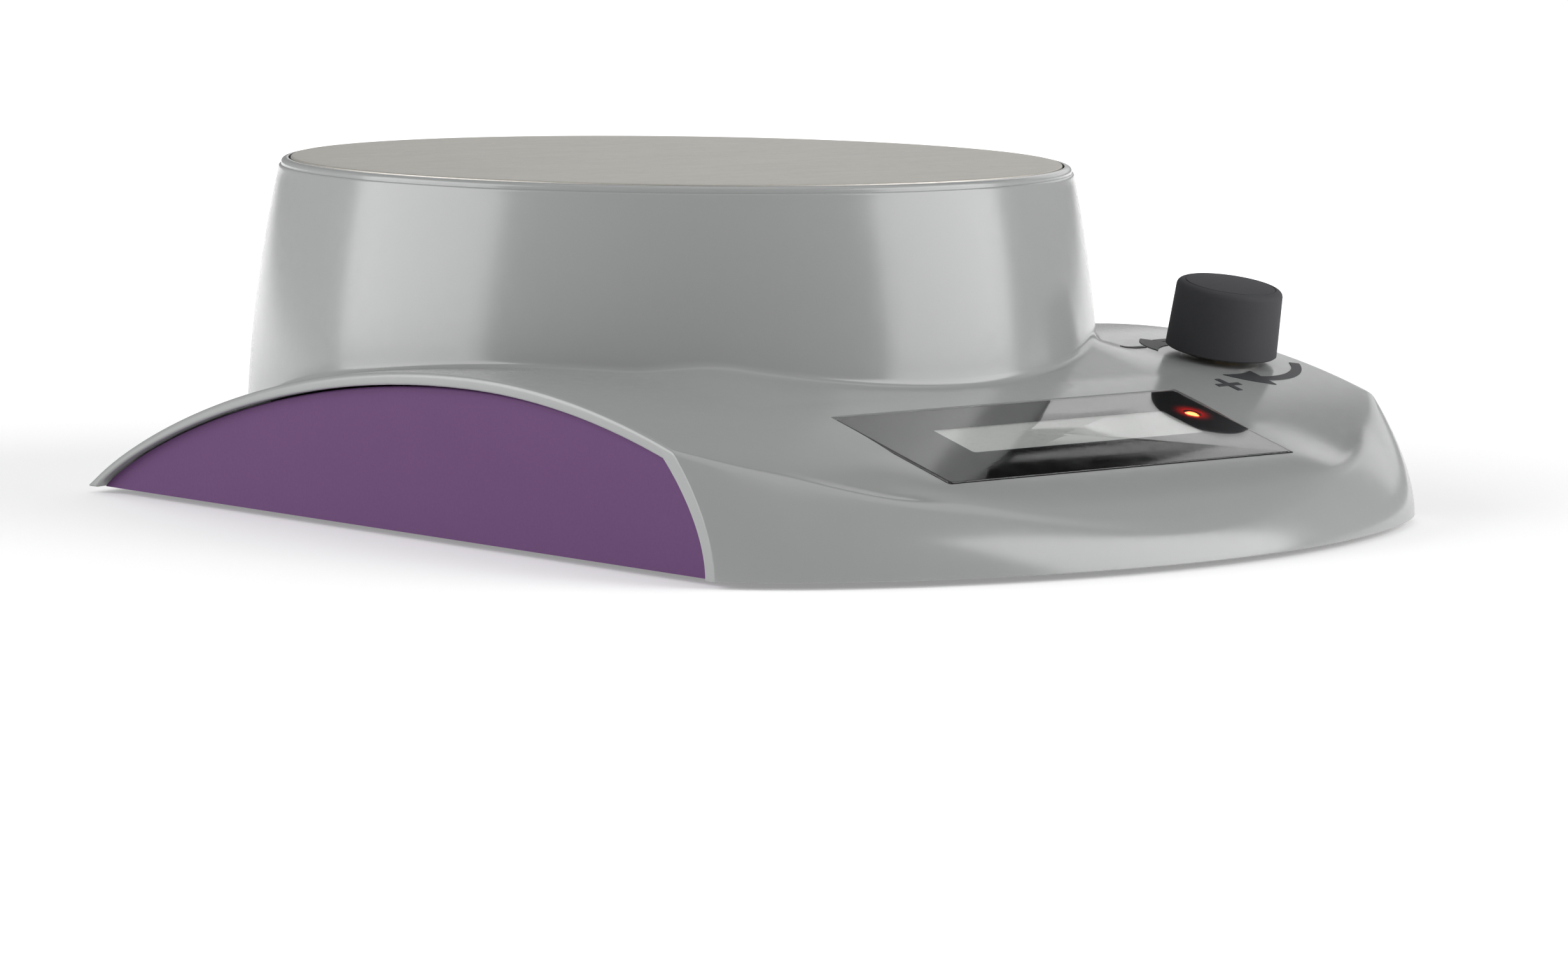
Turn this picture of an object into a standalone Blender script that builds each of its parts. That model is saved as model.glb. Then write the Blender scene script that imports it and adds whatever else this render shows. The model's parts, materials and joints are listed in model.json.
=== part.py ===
"""Compact induction magnetic stirrer: a round drum with a steel plate on an arched housing.

The front of the object is -Y, its right is +X and +Z is up. The origin is on the table, under the
centre of the bounding box. Sizes below are in millimetres, and the helpers turn them into metres.
A front distance, called reach, is measured from the drum's axis towards the user.
"""

import math

import bmesh
import bpy
import numpy as np

MM = 0.001
GAP = 0.3                    # clearance between pieces that touch
WALL = 2.0                   # moulded wall
RIM_Z = 1.0                  # lower rim of the housing above the table

# Drum and stirring plate
PLATE_R = 60.4
PLATE_TOP = 52.9
PLATE_T = 1.6
RIM_DROP = 0.2               # the drum's lip below the plate's top
LIP_OUT = 1.5                # width of the rounded lip outside the plate
LIP_H = 1.0                  # height of the lip above the drum's shoulder
DRUM_R = 67.0                # at the foot of the drum
DRUM_FLARE = 5.1             # how much wider the foot is than the rim
FLARE_DEPTH = 45.0           # depth below the plate at which the wall turns vertical
SEAL_T = 0.8

# Arched body
HALF_W = 72.7
FRONT_R = 128.6              # front edge in plan
FRONT_CENTRE = -12.4         # reach of that arc's centre
CORNER_ROUND = 3.0           # how far the front corners are pulled back
CORNER_POWER = 12
BACK_CORNER = -55.8          # reach of the back corners
BACK_MIDDLE = -66.0          # reach of the back edge in the middle
PEAK_REACH = 36.0
PEAK_Z = 25.6
ARCH_FRONT_R = 152.6
ARCH_BACK_POWER = 0.85
SKIRT_W = 7.5                # plan width of the front skirt
SKIRT_POWER = 1.8
PANEL_RECESS = 1.8

# Display, on a plane that tilts to the user
LABEL_W = 71.6
LABEL_H = 26.2
LABEL_REACH = 87.0
LABEL_Z = 17.0
LABEL_TILT = math.radians(16)
LENS_T = 0.6
MASK_T = 0.4
WINDOW_W = 48.3
WINDOW_H = 9.2
WINDOW_X = 2.3
WINDOW_Y = 1.4
LED_X = 31.1
LED_Y = 4.2
LED_R = 1.4
TRAY_TOP = -0.25             # top of the housing's display tray, along the plane's normal
TRAY_BOTTOM = -3.0           # and its underside
TRAY_RIM = 2.0               # width of the tray's frame round the lens
BEZEL_T = 0.5
LCD_T = 1.0
DISPLAY_BOARD_T = 1.2

# Speed knob and its potentiometer
KNOB_X = 59.5
KNOB_REACH = 61.5
KNOB_R = 8.35
KNOB_FOOT_R = 8.75
KNOB_LOW = 1.0
KNOB_TOP = 11.9
SHAFT_R = 3.0
SHAFT_PLAY = 0.05
BUSHING_R = 3.4
POT_R = 8.0
POT_TOP = -2.6
POT_H = 6.5

# Coil unit
COIL_COUNT = 4
COIL_RING_R = 30.0
CORE_R = 8.0
COIL_R = 17.5
COIL_TOP = 47.4
COIL_BOTTOM = 32.3
YOKE_R = 46.0
YOKE_T = 2.5
POST_RING_R = 42.0
POST_R = 4.0

# Base, boards and inlet
BASE_T = 2.0
BASE_INSET = 6.5
BOARD_T = 1.6
BOARD_Z = 7.7
BOARD_SIZE = (60.0, 62.0)
BOARD_REACH = 3.0
JACK_Z = 13.0
JACK_R = 3.9
JACK_BORE_R = 2.8
FOOT_R = 6.0
FOOT_T = 2.0
FOOT_PLACES = ((-52, 78), (52, 78), (-50, -34), (50, -34))
SCREW_PLACES = ((-50, 68), (50, 68), (-60, -20), (60, -20))

# Worked out from the sizes above
DRUM_Y = (FRONT_CENTRE + FRONT_R - DRUM_R) / 2
SEAT_Z = PLATE_TOP - PLATE_T - GAP - SEAL_T - GAP
BACK_SAG = BACK_CORNER - BACK_MIDDLE
BACK_R = (HALF_W ** 2 + BACK_SAG ** 2) / (2 * BACK_SAG)
BASE_Z = RIM_Z + GAP
BASE_TOP = BASE_Z + BASE_T
KNOB_TILT = math.asin((KNOB_REACH - PEAK_REACH) / ARCH_FRONT_R)


# ---------------------------------------------------------------- the body's surfaces

def drum_radius(depth):
    """Outer radius of the drum at a depth below the plate's top."""
    left = np.clip(1 - np.asarray(depth) / FLARE_DEPTH, 0, 1)
    return DRUM_R - DRUM_FLARE * left ** 2


def front_edge(x, inset=0.0):
    """Reach of the body's front edge in plan, moved inwards by inset."""
    pull = CORNER_ROUND * (abs(x) / HALF_W) ** CORNER_POWER
    return FRONT_CENTRE + np.sqrt((FRONT_R - inset) ** 2 - x ** 2) - pull


def back_edge(x, inset=0.0):
    """Reach of the body's back edge in plan, moved inwards by inset."""
    return BACK_MIDDLE + BACK_R - math.sqrt((BACK_R - inset) ** 2 - x ** 2)


def arch_front_z(reach):
    """Height of the deck in front of its peak: an arc."""
    return PEAK_Z - ARCH_FRONT_R + np.sqrt(ARCH_FRONT_R ** 2 - (np.asarray(reach) - PEAK_REACH) ** 2)


def deck_z(x, reach):
    """Height of the deck at a place in plan."""
    if reach > PEAK_REACH:
        return float(arch_front_z(reach))
    share = (PEAK_REACH - reach) / (PEAK_REACH - back_edge(x))
    return RIM_Z + (PEAK_Z - RIM_Z) * max(0.0, 1 - share ** 2) ** ARCH_BACK_POWER


def body_section(x, inset=0.0):
    """The body's outline at one x, from the back rim over the deck and down the front skirt, as
    (reach, height) pairs. A section with an inset is that much smaller all round."""
    share = np.sin(np.linspace(math.pi / 2, 0, 10))
    back = PEAK_REACH - share * (PEAK_REACH - back_edge(x, inset))
    rise = PEAK_Z - inset - RIM_Z
    back_z = RIM_Z + rise * np.clip(1 - share ** 2, 0, 1) ** ARCH_BACK_POWER
    shoulder = front_edge(x, inset + SKIRT_W)
    front = np.linspace(PEAK_REACH, shoulder, 8)[1:]
    front_z = arch_front_z(front) - inset
    down = np.linspace(1, 0, 5)[1:]
    skirt = np.array([front_edge(x, inset + SKIRT_W * h ** SKIRT_POWER) for h in down])
    skirt_z = RIM_Z + down * (front_z[-1] - RIM_Z)
    return list(zip(np.concatenate([back, front, skirt]), np.concatenate([back_z, front_z, skirt_z])))


# ---------------------------------------------------------------- helpers

def clear_scene():
    for obj in list(bpy.data.objects):
        bpy.data.objects.remove(obj)


def new_collection(name):
    made = bpy.data.collections.new(name)
    bpy.context.scene.collection.children.link(made)
    return made


def material(name, colour, roughness, metallic=0.0, alpha=1.0):
    """A Principled material; colour is linear red, green and blue."""
    made = bpy.data.materials.new(name)
    made.use_nodes = True
    shader = made.node_tree.nodes["Principled BSDF"]
    shader.inputs["Base Color"].default_value = (*colour, 1)
    shader.inputs["Roughness"].default_value = roughness
    shader.inputs["Metallic"].default_value = metallic
    shader.inputs["Alpha"].default_value = alpha
    made.diffuse_color = (*colour, alpha)
    return made


def place(obj, mat, at=(0, 0, 0), turn=(0, 0, 0), parent=None, smooth_angle=35):
    """Puts an object in the parts collection, or in the cutters' where it has no material."""
    (PARTS if mat else CUTTERS).objects.link(obj)
    obj.location = [v * MM for v in at]
    obj.rotation_euler = turn
    obj.parent = parent
    if mat:
        obj.data.materials.append(mat)
    else:
        obj.hide_render = True
        obj.display_type = "WIRE"
    if obj.type == "MESH" and obj.data.polygons:
        obj.data.shade_smooth()
        obj.data.set_sharp_from_angle(angle=math.radians(smooth_angle))
    return obj


def mesh_object(name, work):
    mesh = bpy.data.meshes.new(name)
    work.to_mesh(mesh)
    work.free()
    return bpy.data.objects.new(name, mesh)


def box(name, size, mat, at=(0, 0, 0), turn=(0, 0, 0), parent=None, bevel=0.0):
    work = bmesh.new()
    bmesh.ops.create_cube(work, size=1)
    bmesh.ops.scale(work, vec=[v * MM for v in size], verts=work.verts)
    obj = place(mesh_object(name, work), mat, at, turn, parent)
    if bevel:
        edge = obj.modifiers.new("Bevel", "BEVEL")
        edge.width = bevel * MM
        edge.segments = 2
    return obj


def cylinder(name, radius, low, high, mat, at=(0, 0, 0), turn=(0, 0, 0), parent=None, sides=24):
    work = bmesh.new()
    bmesh.ops.create_cone(work, cap_ends=True, segments=sides, radius1=radius * MM, radius2=radius * MM,
                          depth=(high - low) * MM)
    bmesh.ops.translate(work, vec=(0, 0, (high + low) / 2 * MM), verts=work.verts)
    return place(mesh_object(name, work), mat, at, turn, parent)


def turned(name, profile, mat, at=(0, 0, 0), turn=(0, 0, 0), parent=None, steps=24):
    """A profile of (radius, height) pairs, down the outer side, turned about Z. A profile that
    doesn't start on the axis is a closed loop."""
    work = bmesh.new()
    points = [work.verts.new((r * MM, 0, z * MM)) for r, z in profile]
    for first, second in zip(points, points[1:]):
        work.edges.new((first, second))
    if profile[0][0] > 0:
        work.edges.new((points[-1], points[0]))
    obj = place(mesh_object(name, work), mat, at, turn, parent)
    screw = obj.modifiers.new("Screw", "SCREW")
    screw.steps = screw.render_steps = steps
    screw.use_merge_vertices = True
    screw.merge_threshold = 0.00005
    return obj


def ring(name, inner, outer, low, high, mat, **where):
    return turned(name, [(outer, high), (outer, low), (inner, low), (inner, high)], mat, **where)


def to_mesh_object(curve_obj, name):
    """The mesh of a curve object, with its caps welded. The curve is removed."""
    graph = bpy.context.evaluated_depsgraph_get()
    mesh = bpy.data.meshes.new_from_object(curve_obj.evaluated_get(graph))
    work = bmesh.new()
    work.from_mesh(mesh)
    bmesh.ops.remove_doubles(work, verts=work.verts, dist=0.00001)
    work.to_mesh(mesh)
    work.free()
    made = bpy.data.objects.new(name, mesh)
    bpy.data.objects.remove(curve_obj)
    return made


def outline_plate(name, outline, thickness, mat, at=(0, 0, 0), turn=(0, 0, 0), parent=None):
    """A flat outline in its own XY plane, with its thickness centred on that plane."""
    curve = bpy.data.curves.new(name, "CURVE")
    curve.dimensions = "2D"
    curve.fill_mode = "BOTH"
    curve.extrude = thickness / 2 * MM
    spline = curve.splines.new("POLY")
    spline.points.add(len(outline) - 1)
    for point, (u, v) in zip(spline.points, outline):
        point.co = (u * MM, v * MM, 0, 1)
    spline.use_cyclic_u = True
    holder = bpy.data.objects.new(name + "_curve", curve)
    bpy.context.scene.collection.objects.link(holder)
    bpy.context.view_layer.update()
    return place(to_mesh_object(holder, name), mat, at, turn, parent)


def tube(name, route, radius, mat, points_per_leg=4):
    """A wire along a smooth curve through the route's points."""
    route = np.array(route, float)
    ends = np.vstack([2 * route[0] - route[1], route, 2 * route[-1] - route[-2]])
    path = [route[0]]
    for a, b, c, d in zip(ends, ends[1:], ends[2:], ends[3:]):
        for t in np.linspace(0, 1, points_per_leg + 1)[1:]:
            path.append(0.5 * (2 * b + (c - a) * t + (2 * a - 5 * b + 4 * c - d) * t ** 2
                               + (3 * b - a - 3 * c + d) * t ** 3))
    curve = bpy.data.curves.new(name, "CURVE")
    curve.dimensions = "3D"
    curve.bevel_depth = radius * MM
    curve.bevel_resolution = 2
    curve.use_fill_caps = True
    spline = curve.splines.new("POLY")
    spline.points.add(len(path) - 1)
    for point, co in zip(spline.points, path):
        point.co = (*(co * MM), 1)
    return place(bpy.data.objects.new(name, curve), mat)


def loft(name, sections, mat):
    """A closed solid over sections with the same number of points, and flat ends."""
    work = bmesh.new()
    rows = [[work.verts.new([v * MM for v in point]) for point in section] for section in sections]
    for row, after in zip(rows, rows[1:]):
        for i in range(len(row)):
            j = (i + 1) % len(row)
            work.faces.new((row[i], row[j], after[j], after[i]))
    work.faces.new(rows[0])
    work.faces.new(rows[-1])
    bmesh.ops.recalc_face_normals(work, faces=work.faces)
    bmesh.ops.triangulate(work, faces=work.faces)
    return place(mesh_object(name, work), mat)


def boolean(obj, other, operation="DIFFERENCE"):
    made = obj.modifiers.new(f"{operation} {other.name}", "BOOLEAN")
    made.operation = operation
    made.object = other
    return obj


def holder(name, at, turn=(0, 0, 0)):
    """An empty that carries a sub-assembly."""
    made = bpy.data.objects.new(name, None)
    bpy.context.scene.collection.objects.link(made)
    made.location = [v * MM for v in at]
    made.rotation_euler = turn
    return made


# ---------------------------------------------------------------- housing

def body_solid(name, mat, half_w, inset=0.0, below_rim=0.0):
    """The arched body as a solid that runs on below its rim: sections from side to side, closer
    together at the corners."""
    sections = []
    for t in np.linspace(-1, 1, 17):
        x = half_w * math.sin(t * math.pi / 2)
        outline = body_section(x, inset)
        outline.append((outline[-1][0], RIM_Z - below_rim))
        outline.append((outline[0][0], RIM_Z - below_rim))
        sections.append([(x, DRUM_Y - reach, z) for reach, z in outline])
    return loft(name, sections, mat)


def drum_profile(top, low, inset=0.0, lip=False):
    """The drum's solid profile, from the middle of its top to its foot. With a lip, the top ends in
    a rounded lip on a narrow shoulder."""
    start = top - LIP_H if lip else top
    depths = np.linspace(PLATE_TOP - start, PLATE_TOP - low, 7)
    side = [(float(drum_radius(d)) - inset, PLATE_TOP - d) for d in depths]
    lip_r = PLATE_R + LIP_OUT
    edge = [(lip_r - 0.7, top), (lip_r - 0.15, top - 0.3), (lip_r, start)] if lip else []
    return [(0, top), *edge, *side, (0, low)]


def make_top_housing():
    """The arched body and the drum as one moulding, hollow from below and open at both sides."""
    housing = body_solid("top_housing", LIGHT_GREY, HALF_W, below_rim=3)
    drum = drum_profile(PLATE_TOP - RIM_DROP, RIM_Z - 4, lip=True)
    boolean(housing, turned("drum_solid", drum, None, at=(0, DRUM_Y, 0), steps=64), "UNION")
    boolean(housing, body_solid("body_hollow", None, HALF_W + 4, WALL, below_rim=6))
    boolean(housing, turned("drum_hollow", drum_profile(SEAT_Z - WALL, RIM_Z - 7, WALL), None,
                            at=(0, DRUM_Y, 0), steps=64))
    boolean(housing, box("rim_trim", (200, 260, 20), None, at=(0, 0, RIM_Z - 10)))
    boolean(housing, cylinder("plate_pocket", PLATE_R + 0.4, SEAT_Z, PLATE_TOP + 5, None,
                              at=(0, DRUM_Y, 0), sides=64))
    lens_seat = -LENS_T - GAP - MASK_T - GAP
    tray = (LABEL_W + 2 * TRAY_RIM, LABEL_H + 2 * TRAY_RIM, TRAY_TOP - TRAY_BOTTOM)
    boolean(housing, box("tray_block", tray, None, at=(0, 0, (TRAY_TOP + TRAY_BOTTOM) / 2),
                         parent=LABEL_PLANE), "UNION")
    boolean(housing, box("lens_pocket", (LABEL_W + 2 * GAP, LABEL_H + 2 * GAP, 8), None,
                         at=(0, 0, lens_seat + 4), parent=LABEL_PLANE))
    boolean(housing, box("window_hole", (WINDOW_W + 1, WINDOW_H + 1, 8), None,
                         at=(WINDOW_X, WINDOW_Y, TRAY_BOTTOM), parent=LABEL_PLANE))
    boolean(housing, cylinder("led_hole", LED_R + GAP, -8, 0, None, at=(LED_X, LED_Y, 0),
                              parent=LABEL_PLANE, sides=24))
    boolean(housing, cylinder("shaft_hole", BUSHING_R + GAP, -8, 6, None, parent=KNOB_AXIS, sides=24))
    boolean(housing, cylinder("jack_hole", JACK_R + GAP, -8, 8, None, at=(0, DRUM_Y + DRUM_R, JACK_Z),
                              turn=(math.pi / 2, 0, 0)))
    for i, (x, reach) in enumerate(SCREW_PLACES, 1):
        boolean(housing, cylinder(f"boss_{i}", 3.5, BASE_TOP + GAP, deck_z(x, reach) - 1, None,
                                  at=(x, DRUM_Y - reach, 0), sides=14), "UNION")
        boolean(housing, cylinder(f"boss_pilot_{i}", 1.3, 0, BASE_TOP + 8, None,
                                  at=(x, DRUM_Y - reach, 0), sides=12))
    return housing


def make_plate():
    """The stirring plate, with a softened edge, on its flat gasket."""
    soft = 0.4
    low = PLATE_TOP - PLATE_T
    turned("stirring_plate", [(0, PLATE_TOP), (PLATE_R - soft, PLATE_TOP), (PLATE_R, PLATE_TOP - soft),
                              (PLATE_R, low), (0, low)], STEEL, at=(0, DRUM_Y, 0), steps=64)
    ring("plate_seal", 56.0, 59.0, SEAT_Z + GAP, SEAT_Z + GAP + SEAL_T, RUBBER, at=(0, DRUM_Y, 0),
         steps=28)


def make_side_panels():
    """The two arched panels that close the housing's sides, just inside its lip."""
    outline = [(-reach, z) for reach, z in body_section(HALF_W - PANEL_RECESS, WALL + GAP)]
    middle = HALF_W - PANEL_RECESS - WALL / 2
    for name, side in (("side_panel_left", -1), ("side_panel_right", 1)):
        outline_plate(name, outline, WALL, PURPLE, at=(side * middle, DRUM_Y, 0),
                      turn=(math.pi / 2, 0, math.pi / 2))


def base_outline():
    """The base's outline in plan: the body's, and the drum's where that reaches further back."""
    half = HALF_W - PANEL_RECESS - WALL - GAP
    across = half * np.sin(np.linspace(-math.pi / 2, math.pi / 2, 17))
    front = [(x, DRUM_Y - front_edge(x, BASE_INSET)) for x in across]
    drum_inner = DRUM_R - WALL - 2 * GAP
    back = []
    for x in across[::-1]:
        round_back = -math.sqrt(max(0.0, drum_inner ** 2 - x ** 2))
        back.append((x, DRUM_Y - min(back_edge(x, BASE_INSET), round_back)))
    return front + back


def make_base():
    """The base plate with its posts, the feet under it and the screws that hold the housing."""
    base = outline_plate("base_plate", base_outline(), BASE_T, DARK_PLASTIC,
                         at=(0, 0, BASE_Z + BASE_T / 2))
    for i, (x, y) in enumerate(POST_PLACES, 1):
        boolean(base, cylinder(f"coil_post_{i}", POST_R, BASE_Z + 1, YOKE_Z - GAP, None, at=(x, y, 0),
                               sides=24), "UNION")
        boolean(base, cylinder(f"coil_post_pilot_{i}", 1.3, YOKE_Z - 10, YOKE_Z + 2, None,
                               at=(x, y, 0), sides=12))
    for i, (x, y) in enumerate(BOARD_POSTS, 1):
        boolean(base, cylinder(f"board_post_{i}", 3.0, BASE_Z + 1, BOARD_Z - GAP, None, at=(x, y, 0),
                               sides=14), "UNION")
        boolean(base, cylinder(f"board_post_pilot_{i}", 1.3, BASE_Z + 1.5, BOARD_Z + 2, None,
                               at=(x, y, 0), sides=12))
    for i, (x, reach) in enumerate(FOOT_PLACES, 1):
        at = (x, DRUM_Y - reach, 0)
        boolean(base, cylinder(f"foot_pocket_{i}", FOOT_R + GAP, 0, FOOT_T + GAP, None, at=at))
        turned(f"foot_{i}", [(0, FOOT_T), (FOOT_R, FOOT_T), (FOOT_R, 0.4), (FOOT_R - 0.4, 0), (0, 0)],
               RUBBER, at=at, steps=24)
    for i, (x, reach) in enumerate(SCREW_PLACES, 1):
        at = (x, DRUM_Y - reach, 0)
        head_top = BASE_Z + 1.2
        boolean(base, cylinder(f"screw_hole_{i}", 1.3, 0, 5, None, at=at, sides=12))
        boolean(base, cylinder(f"screw_sink_{i}", 3.1, 0, head_top + GAP, None, at=at, sides=24))
        make_screw(f"base_screw_{i}", at, head_top, 2.8, BASE_TOP + 7, down=False)


def make_screw(name, at, head_face, head_r, tip, down=True):
    """A pan-head screw: its head lies on head_face and its shank runs to the height of its tip."""
    shank_r = 1.0
    head_t = 1.0
    if down:
        outer = head_face + head_t
        profile = [(0, outer), (head_r, outer - 0.3), (head_r, head_face), (shank_r, head_face),
                   (shank_r, tip), (0, tip)]
    else:
        outer = head_face - head_t
        profile = [(0, tip), (shank_r, tip), (shank_r, head_face), (head_r, head_face),
                   (head_r, outer + 0.3), (0, outer)]
    turned(name, profile, BRIGHT_STEEL, at=at, steps=12)


# ---------------------------------------------------------------- display

def make_display():
    """The lens, its printed mask, the display module, its board and the status light, one under
    another along the label plane's normal."""
    box("control_lens", (LABEL_W, LABEL_H, LENS_T), CLEAR, at=(0, 0, -LENS_T / 2), parent=LABEL_PLANE,
        bevel=0.2)
    mask_z = -LENS_T - GAP - MASK_T / 2
    mask = box("lens_mask", (LABEL_W, LABEL_H, MASK_T), BLACK, at=(0, 0, mask_z), parent=LABEL_PLANE)
    boolean(mask, box("mask_window", (WINDOW_W, WINDOW_H, 3), None, at=(WINDOW_X, WINDOW_Y, mask_z),
                      parent=LABEL_PLANE))
    boolean(mask, cylinder("mask_led_window", LED_R + GAP, -4, 0, None, at=(LED_X, LED_Y, 0),
                           parent=LABEL_PLANE, sides=24))
    bezel_top = TRAY_BOTTOM - GAP
    bezel = box("lcd_bezel", (WINDOW_W + 4.7, WINDOW_H + 7, BEZEL_T), BRIGHT_STEEL,
                at=(WINDOW_X, WINDOW_Y, bezel_top - BEZEL_T / 2), parent=LABEL_PLANE)
    boolean(bezel, box("bezel_window", (WINDOW_W - 1, WINDOW_H - 1, 5), None,
                       at=(WINDOW_X, WINDOW_Y, bezel_top), parent=LABEL_PLANE))
    glass_top = bezel_top - BEZEL_T - GAP
    box("lcd_glass", (WINDOW_W + 3.5, WINDOW_H + 5.5, LCD_T), PALE_GLASS,
        at=(WINDOW_X, WINDOW_Y, glass_top - LCD_T / 2), parent=LABEL_PLANE)
    board_top = glass_top - LCD_T - GAP
    box("display_board", (66, 22, DISPLAY_BOARD_T), BOARD_GREEN,
        at=(0, 0, board_top - DISPLAY_BOARD_T / 2), parent=LABEL_PLANE)
    led_top = -LENS_T - GAP
    turned("status_led", [(0, led_top), (LED_R * 0.7, led_top - 0.2), (LED_R, led_top - 0.9),
                          (LED_R, board_top + GAP), (0, board_top + GAP)], RED,
           at=(LED_X, LED_Y, 0), parent=LABEL_PLANE, steps=12)


# ---------------------------------------------------------------- knob and potentiometer

def make_knob():
    """The knob and what turns with it. Heights are along the shaft, from the deck outwards."""
    bore_r = 5.3
    recess_r = 7.3
    recess_top = 4.2
    bore_top = 10.4
    turned("speed_knob", [(0, KNOB_TOP), (KNOB_R - 1.6, KNOB_TOP), (KNOB_R - 1.2, KNOB_TOP - 0.3),
                          (KNOB_R - 0.7, KNOB_TOP), (KNOB_R - 0.3, KNOB_TOP), (KNOB_R, KNOB_TOP - 0.4),
                          (KNOB_FOOT_R, KNOB_LOW), (recess_r, KNOB_LOW), (recess_r, recess_top),
                          (bore_r, recess_top), (bore_r, bore_top), (0, bore_top)],
           KNOB_GREY, parent=KNOB_AXIS, steps=24)
    ring("knob_insert", SHAFT_R + GAP, bore_r - GAP, recess_top + 0.6, bore_top - GAP, BRASS,
         parent=KNOB_AXIS, steps=24)
    cylinder("pot_shaft", SHAFT_R, -7.8, bore_top - 0.6, ALUMINIUM, parent=KNOB_AXIS, sides=32)
    ring("pot_wiper", SHAFT_R + GAP, 6.3, -7.0, -6.2, BRASS, parent=KNOB_AXIS, steps=24)


def make_potentiometer():
    """The fixed parts round the shaft: threaded bushing, nut, washer, case and resistance track."""
    bore_r = SHAFT_R + SHAFT_PLAY
    case_low = POT_TOP - POT_H
    flange_top = POT_TOP - 1.0 - GAP
    turned("pot_bushing", [(BUSHING_R, 4.0), (BUSHING_R, flange_top), (5.0, flange_top),
                           (5.0, flange_top - 0.8), (bore_r, flange_top - 0.8), (bore_r, 4.0)],
           BRASS, parent=KNOB_AXIS, steps=28)
    ring("pot_washer", BUSHING_R + GAP, 6.2, GAP, 0.7, BRIGHT_STEEL, parent=KNOB_AXIS, steps=24)
    nut = cylinder("pot_nut", 5.6, 1.0, 3.0, BRIGHT_STEEL, parent=KNOB_AXIS, sides=6)
    boolean(nut, cylinder("nut_bore", BUSHING_R + GAP, 0, 4, None, parent=KNOB_AXIS))
    turned("pot_case", [(POT_R, POT_TOP), (POT_R, case_low), (POT_R - 1, case_low),
                        (POT_R - 1, POT_TOP - 1), (BUSHING_R + GAP, POT_TOP - 1),
                        (BUSHING_R + GAP, POT_TOP)], DARK_PLASTIC, parent=KNOB_AXIS, steps=28)
    cylinder("pot_track", POT_R - 1 - GAP, case_low, case_low + 0.8, BOARD_GREEN, parent=KNOB_AXIS)


# ---------------------------------------------------------------- coils

def make_coils():
    """Four wound cores on a steel yoke. Their field turns, so nothing in the drum does."""
    yoke = cylinder("stator_yoke", YOKE_R, YOKE_Z, YOKE_Z + YOKE_T, STEEL, at=(0, DRUM_Y, 0), sides=32)
    for i, (x, y) in enumerate(POST_PLACES, 1):
        boolean(yoke, cylinder(f"yoke_hole_{i}", 1.5, YOKE_Z - 2, YOKE_Z + 6, None, at=(x, y, 0),
                               sides=12))
        make_screw(f"yoke_screw_{i}", (x, y, 0), YOKE_Z + YOKE_T + GAP, 2.6, YOKE_Z - 6)
    for i in range(COIL_COUNT):
        angle = 2 * math.pi * (i + 0.5) / COIL_COUNT
        at = (COIL_RING_R * math.cos(angle), DRUM_Y + COIL_RING_R * math.sin(angle), 0)
        core_low = YOKE_Z + YOKE_T + GAP
        cylinder(f"coil_core_{i + 1}", CORE_R, core_low, COIL_TOP, STEEL, at=at, sides=24)
        spool_r = CORE_R + GAP
        low, high = COIL_BOTTOM + 0.6, COIL_TOP - 0.8
        turned(f"coil_bobbin_{i + 1}",
               [(COIL_R + 1, high), (COIL_R + 1, high - 1), (spool_r + 1, high - 1),
                (spool_r + 1, low + 1), (COIL_R + 1, low + 1), (COIL_R + 1, low), (spool_r, low),
                (spool_r, high)], DARK_PLASTIC, at=at, steps=24)
        ring(f"coil_winding_{i + 1}", spool_r + 1 + GAP, COIL_R, low + 1 + GAP, high - 1 - GAP, COPPER,
             at=at, steps=24)


# ---------------------------------------------------------------- electronics

def make_electronics():
    """The driver board with its larger components, the inlet at the back, and the leads."""
    board_y = DRUM_Y - BOARD_REACH
    board = box("driver_board", (*BOARD_SIZE, BOARD_T), BOARD_GREEN,
                at=(0, board_y, BOARD_Z + BOARD_T / 2))
    for i, (x, y) in enumerate(BOARD_POSTS, 1):
        boolean(board, cylinder(f"board_hole_{i}", 1.5, BOARD_Z - 1, BOARD_Z + 4, None, at=(x, y, 0),
                                sides=12))
        make_screw(f"board_screw_{i}", (x, y, 0), BOARD_Z + BOARD_T + GAP, 2.4, BASE_Z + 2)
    top = BOARD_Z + BOARD_T + GAP
    cylinder("supply_capacitor", 5.0, top, top + 12, DARK_PLASTIC, at=(-16, board_y + 16, 0), sides=24)
    box("power_inductor", (12, 12, 7), DARK_PLASTIC, at=(10, board_y + 15, top + 3.5), bevel=0.8)
    box("driver_chip", (10, 10, 1.6), BLACK, at=(8, board_y - 6, top + 0.8))
    box("coil_header", (14, 6, 7), PALE_PLASTIC, at=(-14, board_y - 6, top + 3.5))
    box("display_header", (16, 5, 6), PALE_PLASTIC, at=(0, board_y - 26, top + 3))
    make_inlet()
    jack_back = DRUM_Y + DRUM_R - WALL - GAP - 13.3
    tube("inlet_lead", [(-4, jack_back - 1, JACK_Z), (-9, jack_back - 7, JACK_Z),
                        (-9, board_y + 34, top + 4), (-4, board_y + 27, top + 1.6)], 1.2, BLACK)
    tube("coil_lead", [(-14, board_y - 6, top + 8.4), (-14, board_y - 5, top + 12),
                       (-12, DRUM_Y - 2, 24), (-9, DRUM_Y, YOKE_Z - 1.8)], 1.2, RED_WIRE)
    tube("display_lead", [(7, board_y - 30, top + 3), (9, board_y - 38, top + 2.5),
                          (8, DRUM_Y - 62, 9), (5, DRUM_Y - 72, 9.5)], 1.2, PALE_PLASTIC)
    tube("knob_lead", [(12, board_y - 30, top + 3), (20, board_y - 40, top + 1.5),
                       (46, DRUM_Y - 56, 9), (55, DRUM_Y - 60, 11)], 1.0, BLACK)


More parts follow.
